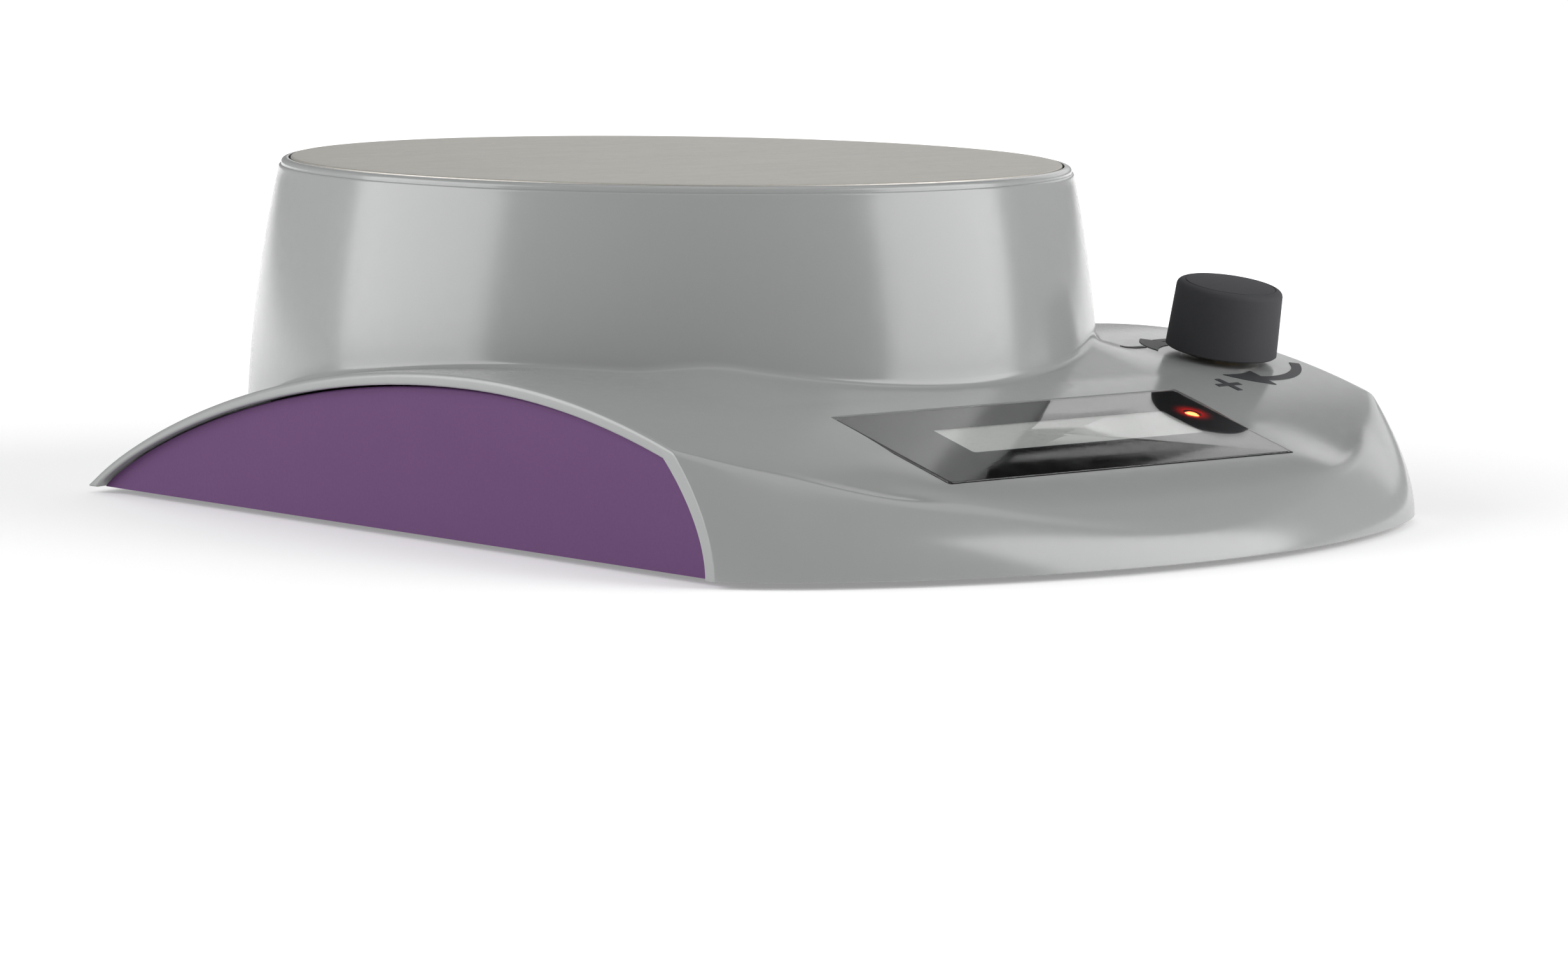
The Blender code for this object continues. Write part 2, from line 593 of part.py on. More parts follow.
def make_inlet():
    """The low-voltage inlet: a block inside the back wall, with its sleeve in the wall's hole."""
    wall_inner = DRUM_Y + DRUM_R - WALL - GAP
    body_depth = 13.0
    jack = box("dc_jack", (11, body_depth, 11), BLACK, at=(0, wall_inner - 0.3 - body_depth / 2, JACK_Z))
    sideways = (-math.pi / 2, 0, 0)
    face = DRUM_Y + DRUM_R - 0.4
    boolean(jack, cylinder("jack_sleeve", JACK_R, -6, 0, None, at=(0, face, JACK_Z), turn=sideways),
            "UNION")
    boolean(jack, cylinder("jack_bore", JACK_BORE_R, -11, 4, None, at=(0, face, JACK_Z), turn=sideways))
    boolean(jack, cylinder("jack_pin_hole", 1.25, -14, 2, None, at=(0, face, JACK_Z), turn=sideways,
                           sides=14))
    cylinder("jack_pin", 0.95, -13, -2, BRASS, at=(0, face, JACK_Z), turn=sideways, sides=14)


# ---------------------------------------------------------------- the object

clear_scene()
PARTS = new_collection("magnetic_stirrer")
CUTTERS = new_collection("cutters")

LIGHT_GREY = material("light grey ABS", (0.60, 0.62, 0.65), 0.32)
PURPLE = material("purple ABS", (0.14, 0.08, 0.17), 0.45)
STEEL = material("brushed stainless steel", (0.45, 0.45, 0.43), 0.38, 1.0)
BRIGHT_STEEL = material("nickel-plated steel", (0.62, 0.62, 0.61), 0.28, 1.0)
ALUMINIUM = material("turned aluminium", (0.66, 0.67, 0.68), 0.35, 1.0)
BRASS = material("brass", (0.60, 0.43, 0.19), 0.32, 1.0)
COPPER = material("enamelled copper wire", (0.45, 0.16, 0.06), 0.35, 0.8)
RUBBER = material("black rubber", (0.02, 0.02, 0.02), 0.8)
DARK_PLASTIC = material("dark grey nylon", (0.05, 0.05, 0.055), 0.55)
PALE_PLASTIC = material("natural nylon", (0.72, 0.70, 0.62), 0.5)
KNOB_GREY = material("soft-touch grey", (0.07, 0.07, 0.075), 0.62)
BLACK = material("black print", (0.012, 0.012, 0.014), 0.25)
CLEAR = material("clear acrylic", (0.8, 0.8, 0.8), 0.05, 0.0, 0.3)
PALE_GLASS = material("display glass", (0.55, 0.58, 0.55), 0.12)
BOARD_GREEN = material("circuit board", (0.02, 0.12, 0.05), 0.4)
RED = material("red light", (0.8, 0.02, 0.01), 0.2)
RED_WIRE = material("red wire insulation", (0.45, 0.02, 0.02), 0.45)

YOKE_Z = COIL_BOTTOM - YOKE_T - GAP
POST_PLACES = [(POST_RING_R * math.sin(a), DRUM_Y - POST_RING_R * math.cos(a))
               for a in np.radians((0, 90, 180, 270))]
BOARD_POSTS = [(side * 26.0, DRUM_Y - BOARD_REACH + side * 27.0) for side in (-1, 1)]
LABEL_PLANE = holder("label_plane", (0, DRUM_Y - LABEL_REACH, LABEL_Z), (LABEL_TILT, 0, 0))
KNOB_AXIS = holder("knob_axis", (KNOB_X, DRUM_Y - KNOB_REACH, deck_z(KNOB_X, KNOB_REACH)),
                   (KNOB_TILT, 0, 0))

make_top_housing()
make_plate()
make_side_panels()
make_base()
make_display()
make_knob()
make_potentiometer()
make_coils()
make_electronics()
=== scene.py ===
"""The looks of a compact magnetic stirrer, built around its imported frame.

Lengths are in millimetres until a mesh is written. The front is -Y, and a place on the body is
given by x and by its reach, the distance in front of the drum's axis.
"""

import json
import logging
import math
from dataclasses import dataclass, field
from enum import Enum
from typing import Sequence

import bpy
import numpy as np
from mathutils import Matrix, Vector


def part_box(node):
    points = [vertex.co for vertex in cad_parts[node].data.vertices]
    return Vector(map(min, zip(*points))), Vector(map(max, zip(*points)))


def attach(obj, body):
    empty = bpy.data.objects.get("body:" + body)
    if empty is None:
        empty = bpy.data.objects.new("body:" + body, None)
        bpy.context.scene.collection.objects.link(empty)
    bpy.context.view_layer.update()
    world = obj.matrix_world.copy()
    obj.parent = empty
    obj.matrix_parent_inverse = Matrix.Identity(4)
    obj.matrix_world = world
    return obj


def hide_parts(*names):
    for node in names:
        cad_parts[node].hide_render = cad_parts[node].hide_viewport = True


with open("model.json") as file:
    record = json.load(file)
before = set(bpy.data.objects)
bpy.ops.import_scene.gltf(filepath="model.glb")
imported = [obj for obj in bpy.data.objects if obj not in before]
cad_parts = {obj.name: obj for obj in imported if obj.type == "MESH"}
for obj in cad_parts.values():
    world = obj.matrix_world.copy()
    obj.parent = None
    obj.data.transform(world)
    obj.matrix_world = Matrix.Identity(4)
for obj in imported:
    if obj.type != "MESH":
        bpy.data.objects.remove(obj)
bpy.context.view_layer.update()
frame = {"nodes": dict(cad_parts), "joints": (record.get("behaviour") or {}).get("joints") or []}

LOG = logging.getLogger("stirrer")
MM = 0.001
Rows = np.ndarray
MeshParts = list[tuple[np.ndarray, list[tuple[int, ...]]]]


# ---------------------------------------------------------------- meshes

def closed_parts(rows: Rows, wrap: bool = False) -> tuple[np.ndarray, list[tuple[int, ...]]]:
    """Points and faces of a closed surface over a grid: each row of points is a loop, and quads join
    each row to the next. The first and last rows end in a fan, or meet each other.

    Args:
        rows: Points in mm, as rows by columns by 3.
        wrap: Whether the last row joins the first.

    Returns:
        The points and the faces, turned so that the enclosed volume is positive.
    """
    count, across = rows.shape[:2]
    i = np.arange(count if wrap else count - 1)[:, None]
    j = np.arange(across)[None, :]
    low, right = (i + 1) % count, (j + 1) % across
    quads = np.stack([i * across + j, low * across + j, low * across + right, i * across + right], -1)
    quads = quads.reshape(-1, 4)
    points = rows.reshape(-1, 3)
    triangles = np.concatenate([quads[:, :3], quads[:, [0, 2, 3]]])
    fans = np.zeros((0, 3), int)
    if not wrap:
        first, last = len(points), len(points) + 1
        points = np.concatenate([points, [rows[0].mean(0)], [rows[-1].mean(0)]])
        j, right, end = j[0], right[0], (count - 1) * across
        fans = np.concatenate([np.stack([np.full_like(j, first), j, right], -1),
                               np.stack([np.full_like(j, last), end + right, end + j], -1)])
        triangles = np.concatenate([triangles, fans])
    a, b, c = (points[triangles[:, k]] for k in range(3))
    if np.einsum("ij,ij->i", a, np.cross(b, c)).sum() < 0:
        quads, fans = quads[:, ::-1], fans[:, ::-1]
    return points, [tuple(f) for f in quads.tolist()] + [tuple(f) for f in fans.tolist()]


def mesh_object(name: str, parts: MeshParts, smooth_angle: float = 32.0) -> bpy.types.Object:
    """One object from several closed surfaces, shaded smooth with sharp edges kept.

    Args:
        name: The piece's name.
        parts: Points in mm and faces of each surface.
        smooth_angle: Edges that turn more than this many degrees stay sharp.

    Returns:
        The object, linked to the scene.
    """
    points, faces, start = [], [], 0
    for part_points, part_faces in parts:
        points.append(part_points)
        faces += [tuple(start + v for v in face) for face in part_faces]
        start += len(part_points)
    mesh = bpy.data.meshes.new(name)
    mesh.from_pydata((np.concatenate(points) * MM).tolist(), [], faces)
    mesh.validate()
    mesh.shade_smooth()
    mesh.set_sharp_from_angle(angle=math.radians(smooth_angle))
    made = bpy.data.objects.new(name, mesh)
    bpy.context.scene.collection.objects.link(made)
    return made


def placed(rows: Rows, matrix: Matrix) -> Rows:
    """Rows of points in mm, moved by a matrix whose translation is in mm."""
    turn = np.array(matrix.to_3x3())
    return rows @ turn.T + np.array(matrix.translation)


def turned(profile: Sequence[tuple[float, float]], matrix: Matrix = Matrix.Identity(4),
           steps: int = 96) -> Rows:
    """A turned shape: each (radius, height) of the profile becomes a circle about Z.

    Args:
        profile: Radius and height of each row, in mm.
        matrix: Where the shape's axis is.
        steps: Points round each circle.

    Returns:
        The grid of points.
    """
    angle = np.linspace(0, 2 * math.pi, steps, endpoint=False)
    radius, height = np.array(profile, float).T
    rows = np.stack([radius[:, None] * np.cos(angle), radius[:, None] * np.sin(angle),
                     np.repeat(height[:, None], steps, 1)], -1)
    return placed(rows, matrix)


def bend(start: np.ndarray, corner: np.ndarray, end: np.ndarray, count: int) -> np.ndarray:
    """A rounded corner: a quadratic curve from start to end that leans to the corner.

    Args:
        start: First point, or an array of them.
        corner: The sharp corner that the curve rounds.
        end: Last point.
        count: Points along the curve, both ends among them.

    Returns:
        The points, count first.
    """
    start, corner, end = (np.asarray(p, float) for p in (start, corner, end))
    t = np.linspace(0, 1, count).reshape((-1,) + (1,) * start.ndim)
    return (1 - t) ** 2 * start + 2 * t * (1 - t) * corner + t ** 2 * end


def rectangle(width: float, height: float, corner: float, count: int = 96) -> np.ndarray:
    """The outline of a rectangle with round corners: a circle of points, each pushed out along its
    side. The four quarter circles have equal shares of the points.

    Args:
        width: Size along X.
        height: Size along Y.
        corner: Radius of the corners.
        count: Points, a multiple of four.

    Returns:
        The points, anticlockwise, as count by 2.
    """
    quarter = np.linspace(0, math.pi / 2, count // 4)
    angle = np.concatenate([quarter + k * math.pi / 2 for k in range(4)])
    side = np.repeat([[1, 1], [-1, 1], [-1, -1], [1, -1]], len(quarter), 0)
    middle = side * (np.array([width, height]) / 2 - corner)
    return middle + corner * np.stack([np.cos(angle), np.sin(angle)], -1)


def stacked(levels: Sequence[tuple[float, float]], width: float, height: float, corner: float,
            matrix: Matrix, at: tuple[float, float] = (0.0, 0.0)) -> Rows:
    """A block with soft edges: at each level the same rectangle, made smaller by an inset.

    Args:
        levels: (inset, height above the plane) of each row, from the top down.
        width: Full size along the plane's X.
        height: Full size along the plane's Y.
        corner: Radius of the full outline's corners.
        matrix: The plane.
        at: The block's middle on the plane.

    Returns:
        The grid of points.
    """
    rows = []
    for inset, z in levels:
        loop = rectangle(width - 2 * inset, height - 2 * inset, max(corner - inset, 0.05)) + at
        rows.append(np.column_stack([loop, np.full(len(loop), z)]))
    return placed(np.array(rows), matrix)


def cut(piece: bpy.types.Object, tools: Sequence[bpy.types.Object], operation: str) -> None:
    """Cuts tools out of a piece, or adds them, and removes them."""
    group = bpy.data.collections.new(f"{piece.name}_tools")
    bpy.context.scene.collection.children.link(group)
    for tool in tools:
        group.objects.link(tool)
    change = piece.modifiers.new(operation, "BOOLEAN")
    change.operation = operation
    change.operand_type = "COLLECTION"
    change.collection = group
    change.solver = "EXACT"
    settle(piece)
    for tool in tools:
        bpy.data.objects.remove(tool)
    bpy.data.collections.remove(group)


def settle(piece: bpy.types.Object, smooth_angle: float = 32.0) -> None:
    """Makes a piece's modifiers part of its mesh."""
    graph = bpy.context.evaluated_depsgraph_get()
    graph.update()
    mesh = bpy.data.meshes.new_from_object(piece.evaluated_get(graph))
    piece.modifiers.clear()
    piece.data = mesh
    mesh.shade_smooth()
    mesh.set_sharp_from_angle(angle=math.radians(smooth_angle))


# ---------------------------------------------------------------- finishes

def linear(colour: str) -> tuple[float, float, float, float]:
    """An sRGB hex colour as linear red, green, blue and alpha."""
    parts = [int(colour[k:k + 2], 16) / 255 for k in (1, 3, 5)]
    return (*[p / 12.92 if p <= 0.04045 else ((p + 0.055) / 1.055) ** 2.4 for p in parts], 1.0)


def add(tree: bpy.types.NodeTree, kind: str, settings: dict | None = None,
        links: dict | None = None) -> bpy.types.Node:
    """Adds one node.

    Args:
        tree: The material's nodes.
        kind: The node's type, such as ShaderNodeBump.
        settings: Values by property name, or by input name or number.
        links: Output sockets by input name or number.

    Returns:
        The new node.
    """
    node = tree.nodes.new(kind)
    for key, value in (settings or {}).items():
        if isinstance(key, str) and hasattr(node, key):
            setattr(node, key, value)
        else:
            node.inputs[key].default_value = value
    for key, socket in (links or {}).items():
        tree.links.new(socket, node.inputs[key])
    return node


class Grain(Enum):
    """How a surface was made, as the stretch of its pattern along X, Y and Z."""

    MOULDED = (1.0, 1.0, 1.0)
    ROLLED = (0.3, 1.0, 1.0)
    TURNED = (0.1, 0.1, 1.0)


@dataclass(frozen=True)
class Finish:
    """A surface: its colour, gloss and fine pattern.

    The colour wanders a little over mottle_mm, and a finer noise of grain_mm gives the roughness
    its variation and the surface its bumps.
    """

    name: str
    colour: str
    roughness: float
    slot: str
    metallic: float = 0.0
    ior: float = 1.5
    grain: Grain = Grain.MOULDED
    grain_mm: float = 0.5
    bump_mm: float = 0.01
    mottle: float = 0.04
    mottle_mm: float = 18.0
    roughness_swing: float = 0.04
    anisotropic: float = 0.0
    transmission: float = 0.0
    coat: float = 0.0
    glow: str = ""
    glow_strength: float = 0.0

    def noise(self, tree: bpy.types.NodeTree, place: bpy.types.NodeSocket, size: float,
              detail: float) -> bpy.types.NodeSocket:
        """A noise with features of one size in mm, stretched as the grain runs."""
        stretch = [v / (size * MM) for v in self.grain.value]
        spot = add(tree, "ShaderNodeMapping", {"Scale": stretch}, {"Vector": place})
        return add(tree, "ShaderNodeTexNoise", {"Scale": 1.0, "Detail": detail, "Roughness": 0.6},
                   {"Vector": spot.outputs[0]}).outputs[0]

    def spread(self, tree: bpy.types.NodeTree, value: bpy.types.NodeSocket, low: float,
               high: float) -> bpy.types.NodeSocket:
        """A noise's middle range mapped to low to high."""
        return add(tree, "ShaderNodeMapRange", {"From Min": 0.3, "From Max": 0.7, "To Min": low,
                                                "To Max": high}, {"Value": value}).outputs[0]

    def build(self) -> bpy.types.Material:
        """The finish as a material.

        Returns:
            A new Principled material with its pattern on Object coordinates.
        """
        made = bpy.data.materials.new(self.name)
        made.use_nodes = True
        tree = made.node_tree
        shader = tree.nodes["Principled BSDF"]
        for key, value in (("Metallic", self.metallic), ("IOR", self.ior),
                           ("Anisotropic", self.anisotropic), ("Coat Weight", self.coat),
                           ("Transmission Weight", self.transmission)):
            shader.inputs[key].default_value = value
        place = add(tree, "ShaderNodeTexCoord").outputs["Object"]
        broad = self.noise(tree, place, self.mottle_mm, 4.0)
        fine = self.noise(tree, place, self.grain_mm, 3.0)
        value = self.spread(tree, broad, 1 - self.mottle, 1 + self.mottle)
        tint = add(tree, "ShaderNodeHueSaturation", {"Color": linear(self.colour)}, {"Value": value})
        rough = self.spread(tree, fine, self.roughness - self.roughness_swing,
                            self.roughness + self.roughness_swing)
        relief = add(tree, "ShaderNodeBump", {"Distance": self.bump_mm * MM}, {"Height": fine})
        tree.links.new(self.tinted(tree, tint.outputs[0], place), shader.inputs["Base Color"])
        tree.links.new(rough, shader.inputs["Roughness"])
        tree.links.new(relief.outputs[0], shader.inputs["Normal"])
        if self.glow:
            shader.inputs["Emission Color"].default_value = linear(self.glow)
            shader.inputs["Emission Strength"].default_value = self.glow_strength
        return made

    def tinted(self, tree: bpy.types.NodeTree, colour: bpy.types.NodeSocket,
               place: bpy.types.NodeSocket) -> bpy.types.NodeSocket:
        """The colour as it is, for a finish to change."""
        return colour


@dataclass(frozen=True)
class SheetSteel(Finish):
    """Cold-rolled stainless sheet: brushed one way, with short dark scratches across the colour."""

    scratch: str = "#A8A49C"
    scratch_mm: float = 0.8

    def tinted(self, tree: bpy.types.NodeTree, colour: bpy.types.NodeSocket,
               place: bpy.types.NodeSocket) -> bpy.types.NodeSocket:
        """Adds the scratches: the peaks of a noise that is long along the brushing."""
        streak = self.noise(tree, place, self.scratch_mm, 2.0)
        amount = add(tree, "ShaderNodeMapRange", {"From Min": 0.56, "From Max": 0.8, "To Max": 0.4},
                     {"Value": streak})
        return add(tree, "ShaderNodeMix", {"data_type": "RGBA", 7: linear(self.scratch)},
                   {0: amount.outputs[0], 6: colour}).outputs[2]


# Injection-moulded ABS, light grey and polished: broad soft reflections with a slight orange peel
ABS_GREY = Finish("polished grey ABS", "#9B9D9C", 0.19, "housing", ior=1.62, grain_mm=1.6, bump_mm=0.004,
                  mottle=0.015, mottle_mm=30, roughness_swing=0.03)
# The same plastic in purple from a spark-eroded mould: flat, with a fine even texture
ABS_PURPLE = Finish("textured purple ABS", "#5E3B68", 0.62, "side_panel", ior=1.35, grain_mm=0.55,
                    bump_mm=0.02, mottle=0.02, mottle_mm=9)
# Rolled stainless sheet, dulled by use: an even satin grey with a light speckle and faint streaks
STAINLESS = SheetSteel("rolled stainless sheet", "#C8C5BE", 0.52, "plate", metallic=1.0,
                       grain=Grain.ROLLED, grain_mm=0.6, bump_mm=0.003, mottle=0.035, mottle_mm=4,
                       roughness_swing=0.04)
# Soft-touch paint over ABS: nearly no gloss and a very fine grain
SOFT_TOUCH = Finish("soft-touch knob paint", "#48484B", 0.68, "knob", ior=1.2, grain_mm=0.25, bump_mm=0.008,
                    mottle=0.03, mottle_mm=6)
# Nickel plate on steel: bright and a little yellow, with turning marks
NICKEL = Finish("nickel-plated steel", "#C9C6C0", 0.22, "bright_steel", metallic=1.0,
                grain=Grain.TURNED, grain_mm=0.12, bump_mm=0.003)
ELECTRICAL_STEEL = Finish("electrical steel", "#8C8C8A", 0.45, "core_steel", metallic=1.0,
                          grain=Grain.TURNED, grain_mm=0.35, bump_mm=0.01)
ALUMINIUM = Finish("turned aluminium", "#CFD1D3", 0.3, "aluminium", metallic=1.0,
                   grain=Grain.TURNED, grain_mm=0.15, bump_mm=0.005)
BRASS = Finish("machined brass", "#C79A4A", 0.28, "brass", metallic=1.0, grain=Grain.TURNED,
               grain_mm=0.15, bump_mm=0.004)
# Enamelled wire: deep amber copper under a clear varnish
COPPER = Finish("enamelled copper wire", "#B0603A", 0.3, "copper", metallic=0.9,
                grain=Grain.TURNED, grain_mm=0.5, bump_mm=0.01, coat=0.5)
RUBBER = Finish("black nitrile rubber", "#1E1E1E", 0.8, "rubber", grain_mm=0.3, bump_mm=0.02)
DARK_NYLON = Finish("dark grey nylon", "#3A3A3C", 0.55, "dark_plastic", grain_mm=0.6, bump_mm=0.015)
PALE_NYLON = Finish("natural nylon", "#D9D4C4", 0.5, "pale_plastic", grain_mm=0.5, bump_mm=0.01)
# Cast acrylic: clear and glossy, so that it mirrors the room over the black print behind it
ACRYLIC = Finish("clear acrylic", "#FFFFFF", 0.03, "lens", ior=1.49, grain_mm=4.0, bump_mm=0.0005,
                 mottle=0.0, roughness_swing=0.01, transmission=1.0)
INK = Finish("screen-printed grey ink", "#3E3F42", 0.5, "black_print", grain_mm=0.2, bump_mm=0.004)
BLACK_ABS = Finish("black connector nylon", "#151517", 0.35, "black_print", grain_mm=0.5,
                   bump_mm=0.01)
# The display's polariser over a pale reflector: grey with a trace of green, and a faint painted glow that
# brightens it though it has no backlight
DISPLAY = Finish("display glass", "#D4D7D3", 0.3, "display_glass", grain_mm=0.4, bump_mm=0.001,
                 mottle=0.02, mottle_mm=8, glow="#E4E8E4", glow_strength=0.12)
SOLDER_MASK = Finish("green solder mask", "#1F5B38", 0.35, "board", grain_mm=0.8, bump_mm=0.01,
                     mottle=0.12, mottle_mm=2.5)
LED_RED = Finish("lit red epoxy", "#FF3A1C", 0.2, "red_light", glow="#FF5A30", glow_strength=14.0,
                 grain_mm=0.5, bump_mm=0.001)
WIRE_RED = Finish("red wire insulation", "#A01515", 0.4, "wire", grain_mm=0.5, bump_mm=0.01)
# Powder-matt ABS for the base
ABS_DARK = Finish("textured dark ABS", "#3B3C3F", 0.6, "dark_plastic", grain_mm=0.7, bump_mm=0.025)


@dataclass(frozen=True)
class BlackPrint(Finish):
    """Black ink on the back of the clear cover, with the status light's glow in it.

    The glow falls off with the distance from the light.
    """

    light: tuple[float, float, float] = (0.0, 0.0, 0.0)
    halo_mm: float = 4.0
    halo_strength: float = 0.8

    def build(self) -> bpy.types.Material:
        """The print as a material, with the light's halo as its emission."""
        made = super().build()
        tree = made.node_tree
        shader = tree.nodes["Principled BSDF"]
        place = add(tree, "ShaderNodeTexCoord").outputs["Object"]
        apart = add(tree, "ShaderNodeVectorMath", {"operation": "DISTANCE", 1: [v * MM for v in self.light]},
                    {0: place})
        near = add(tree, "ShaderNodeMapRange", {"From Min": self.halo_mm * MM, "From Max": 1.2 * MM},
                   {"Value": apart.outputs["Value"]})
        fade = add(tree, "ShaderNodeMath", {"operation": "POWER", 1: 3.0}, {0: near.outputs[0]})
        strength = add(tree, "ShaderNodeMath", {"operation": "MULTIPLY", 1: self.halo_strength},
                       {0: fade.outputs[0]})
        shader.inputs["Emission Color"].default_value = linear("#FF1A10")
        tree.links.new(strength.outputs[0], shader.inputs["Emission Strength"])
        return made


def dress(piece: bpy.types.Object, finish: Finish) -> None:
    """Gives a piece one finish, in place of any that it has."""
    material = bpy.data.materials.get(finish.name) or finish.build()
    piece.data.materials.clear()
    piece.data.materials.append(material)


def fit_out(piece: bpy.types.Object, finish: Finish, body: str, *nodes: str) -> None:
    """Dresses a new piece, lets it ride on its body and hides the CAD nodes that it stands for."""
    dress(piece, finish)
    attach(piece, body)
    if nodes:
        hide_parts(*nodes)
    LOG.info("%s: %d faces, rides on %s", piece.name, len(piece.data.polygons), body)


def box_mm(node: str) -> tuple[np.ndarray, np.ndarray]:
    """A CAD node's lowest and highest corners, in mm."""
    low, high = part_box(node)
    return np.array(low) / MM, np.array(high) / MM


LABEL_TILT = math.radians(16)
LENS_T = 0.6                    # the clear cover's room in the frame
LENS_SEAT = -1.6                # floor of the cover's pocket, along the label plane's normal
TRAY_TOP = -0.6                 # top of the tray round the pocket, under the pad
TRAY_BOTTOM = -3.0
WINDOW_W = 48.3
WINDOW_H = 9.2
WINDOW_X = 2.3
WINDOW_Y = 1.4
LED_X = 31.1
LED_Y = 4.2


def label_plane() -> Matrix:
    """The plane of the clear cover's top, from the cover's box."""
    low, high = box_mm("control_lens")
    turn = Matrix.Rotation(LABEL_TILT, 4, "X")
    middle = Vector((low + high) / 2) + turn @ Vector((0, 0, LENS_T / 2))
    return Matrix.Translation(middle) @ turn


def label_size() -> tuple[float, float]:
    """Width and height of the clear cover, from its box, which the tilt makes deeper."""
    low, high = box_mm("control_lens")
    depth = high[1] - low[1] - LENS_T * math.sin(LABEL_TILT)
    return high[0] - low[0], depth / math.cos(LABEL_TILT)


# ---------------------------------------------------------------- the body's form

@dataclass
class BodyForm:
    """The outer form of drum and arch, which the housing, its panels and the prints share."""

    drum_r: float = 67.0
    drum_flare: float = 5.1
    flare_depth: float = 45.0
    front_r: float = 128.6
    front_centre: float = -12.4
    corner_round: float = 3.0
    corner_power: float = 12.0
    back_corner: float = -55.8
    back_middle: float = -66.0
    peak_reach: float = 36.0
    peak_z: float = 25.6
    arch_r: float = 152.6
    back_power: float = 0.85
    skirt_w: float = 7.5
    skirt_power: float = 1.8
    skirt_full: float = 60.0        # x beyond which the skirt has its full width
    skirt_middle: float = 0.45      # its width in the middle, as a share of that
    crease_drop: float = 0.6        # how much lower the crease runs in the middle
    pad_half_w: float = 36.6        # the flat pad that carries the display panel
    pad_fade: float = 13.0          # how far beside the pad its rise dies out
    pad_front: float = 99.9         # reach of the pad's front edge
    pad_drop: float = 0.22          # the pad's surface below the panel's
    half_w: float = field(init=False)
    rim_z: float = field(init=False)
    plate_r: float = field(init=False)
    plate_top: float = field(init=False)
    drum_y: float = field(init=False)
    label_reach: float = field(init=False)
    label_z: float = field(init=False)

    def __post_init__(self) -> None:
        """Takes the places that the frame settles from its boxes."""
        low, high = box_mm("top_housing")
        plate_low, plate_high = box_mm("stirring_plate")
        self.half_w, self.rim_z = high[0], low[2]
        self.plate_r, self.plate_top = (plate_high[0] - plate_low[0]) / 2, plate_high[2]
        self.drum_y = (plate_low[1] + plate_high[1]) / 2
        middle = label_plane().translation
        self.label_reach, self.label_z = self.drum_y - middle.y, middle.z
        sag = self.back_corner - self.back_middle
        self.back_r = (self.half_w ** 2 + sag ** 2) / (2 * sag)

    def drum_radius(self, depth: np.ndarray) -> np.ndarray:
        """Drum radius at a depth below the plate: widening to its foot with a parabola."""
        left = np.clip(1 - depth / self.flare_depth, 0, 1)
        return self.drum_r - self.drum_flare * left ** 2

    def front_edge(self, x: np.ndarray, inset: np.ndarray | float = 0.0) -> np.ndarray:
        """Reach of the front edge: an arc, pulled back at the corners by a high power of x."""
        pull = self.corner_round * (np.abs(x) / self.half_w) ** self.corner_power
        return self.front_centre + np.sqrt((self.front_r - inset) ** 2 - x ** 2) - pull

    def back_edge(self, x: np.ndarray, inset: float = 0.0) -> np.ndarray:
        """Reach of the back edge: a wide arc through both corners."""
        return self.back_middle + self.back_r - np.sqrt((self.back_r - inset) ** 2 - x ** 2)

    def deck(self, x: np.ndarray, reach: np.ndarray) -> np.ndarray:
        """Height of the deck: an arc in front of the peak, and behind it a power of a parabola that
        comes down to the rim at the back edge."""
        front = self.arch(reach) + self.pad_rise(x, reach)
        edge = self.back_edge(np.clip(x, -self.half_w, self.half_w))
        share = np.clip((self.peak_reach - reach) / (self.peak_reach - edge), 0, 1)
        back = self.rim_z + (self.peak_z - self.rim_z) * (1 - share ** 2) ** self.back_power
        return np.where(reach > self.peak_reach, front, back)

    def arch(self, reach: np.ndarray) -> np.ndarray:
        """Height of the plain arc in front of the peak."""
        ahead = np.clip(reach - self.peak_reach, 0, None)
        return self.peak_z - self.arch_r + np.sqrt(self.arch_r ** 2 - ahead ** 2)

    def skirt_width(self, x: np.ndarray) -> np.ndarray:
        """Plan width of the skirt: wide at the corners and less than half as wide in the middle."""
        share = np.clip(np.abs(x) / self.skirt_full, 0, 1)
        return self.skirt_w * (self.skirt_middle + (1 - self.skirt_middle) * share ** 3)

    def pad_rise(self, x: np.ndarray, reach: np.ndarray) -> np.ndarray:
        """How far the pad under the display panel stands above the arc. It follows the panel's plane to
        its front edge, falls from there to the crease with a parabola, and dies out beside the panel
        with a smooth step."""
        slope = math.tan(LABEL_TILT)
        inside = np.clip(x, -self.half_w, self.half_w)
        crease = self.front_edge(inside, self.skirt_width(inside))
        start = np.minimum(self.pad_front, crease - 3)
        edge_z = self.label_z - self.pad_drop - slope * (start - self.label_reach)
        crease_z = self.arch(self.front_edge(inside, self.skirt_w))
        crease_z = crease_z - self.crease_drop * np.clip(1 - (x / self.pad_half_w) ** 2, 0, 1)
        share = np.clip((reach - start) / (crease - start), 0, 1)
        fall = slope * (crease - start)
        level = edge_z - fall * share - (edge_z - crease_z - fall) * share ** 2
        level = np.where(reach < start, edge_z + slope * (start - reach), level)
        beside = np.clip((np.abs(x) - self.pad_half_w) / self.pad_fade, 0, 1)
        fade = 1 - beside ** 2 * (3 - 2 * beside) * (1 - share ** 2)
        return np.clip(level - self.arch(reach), 0, None) * fade

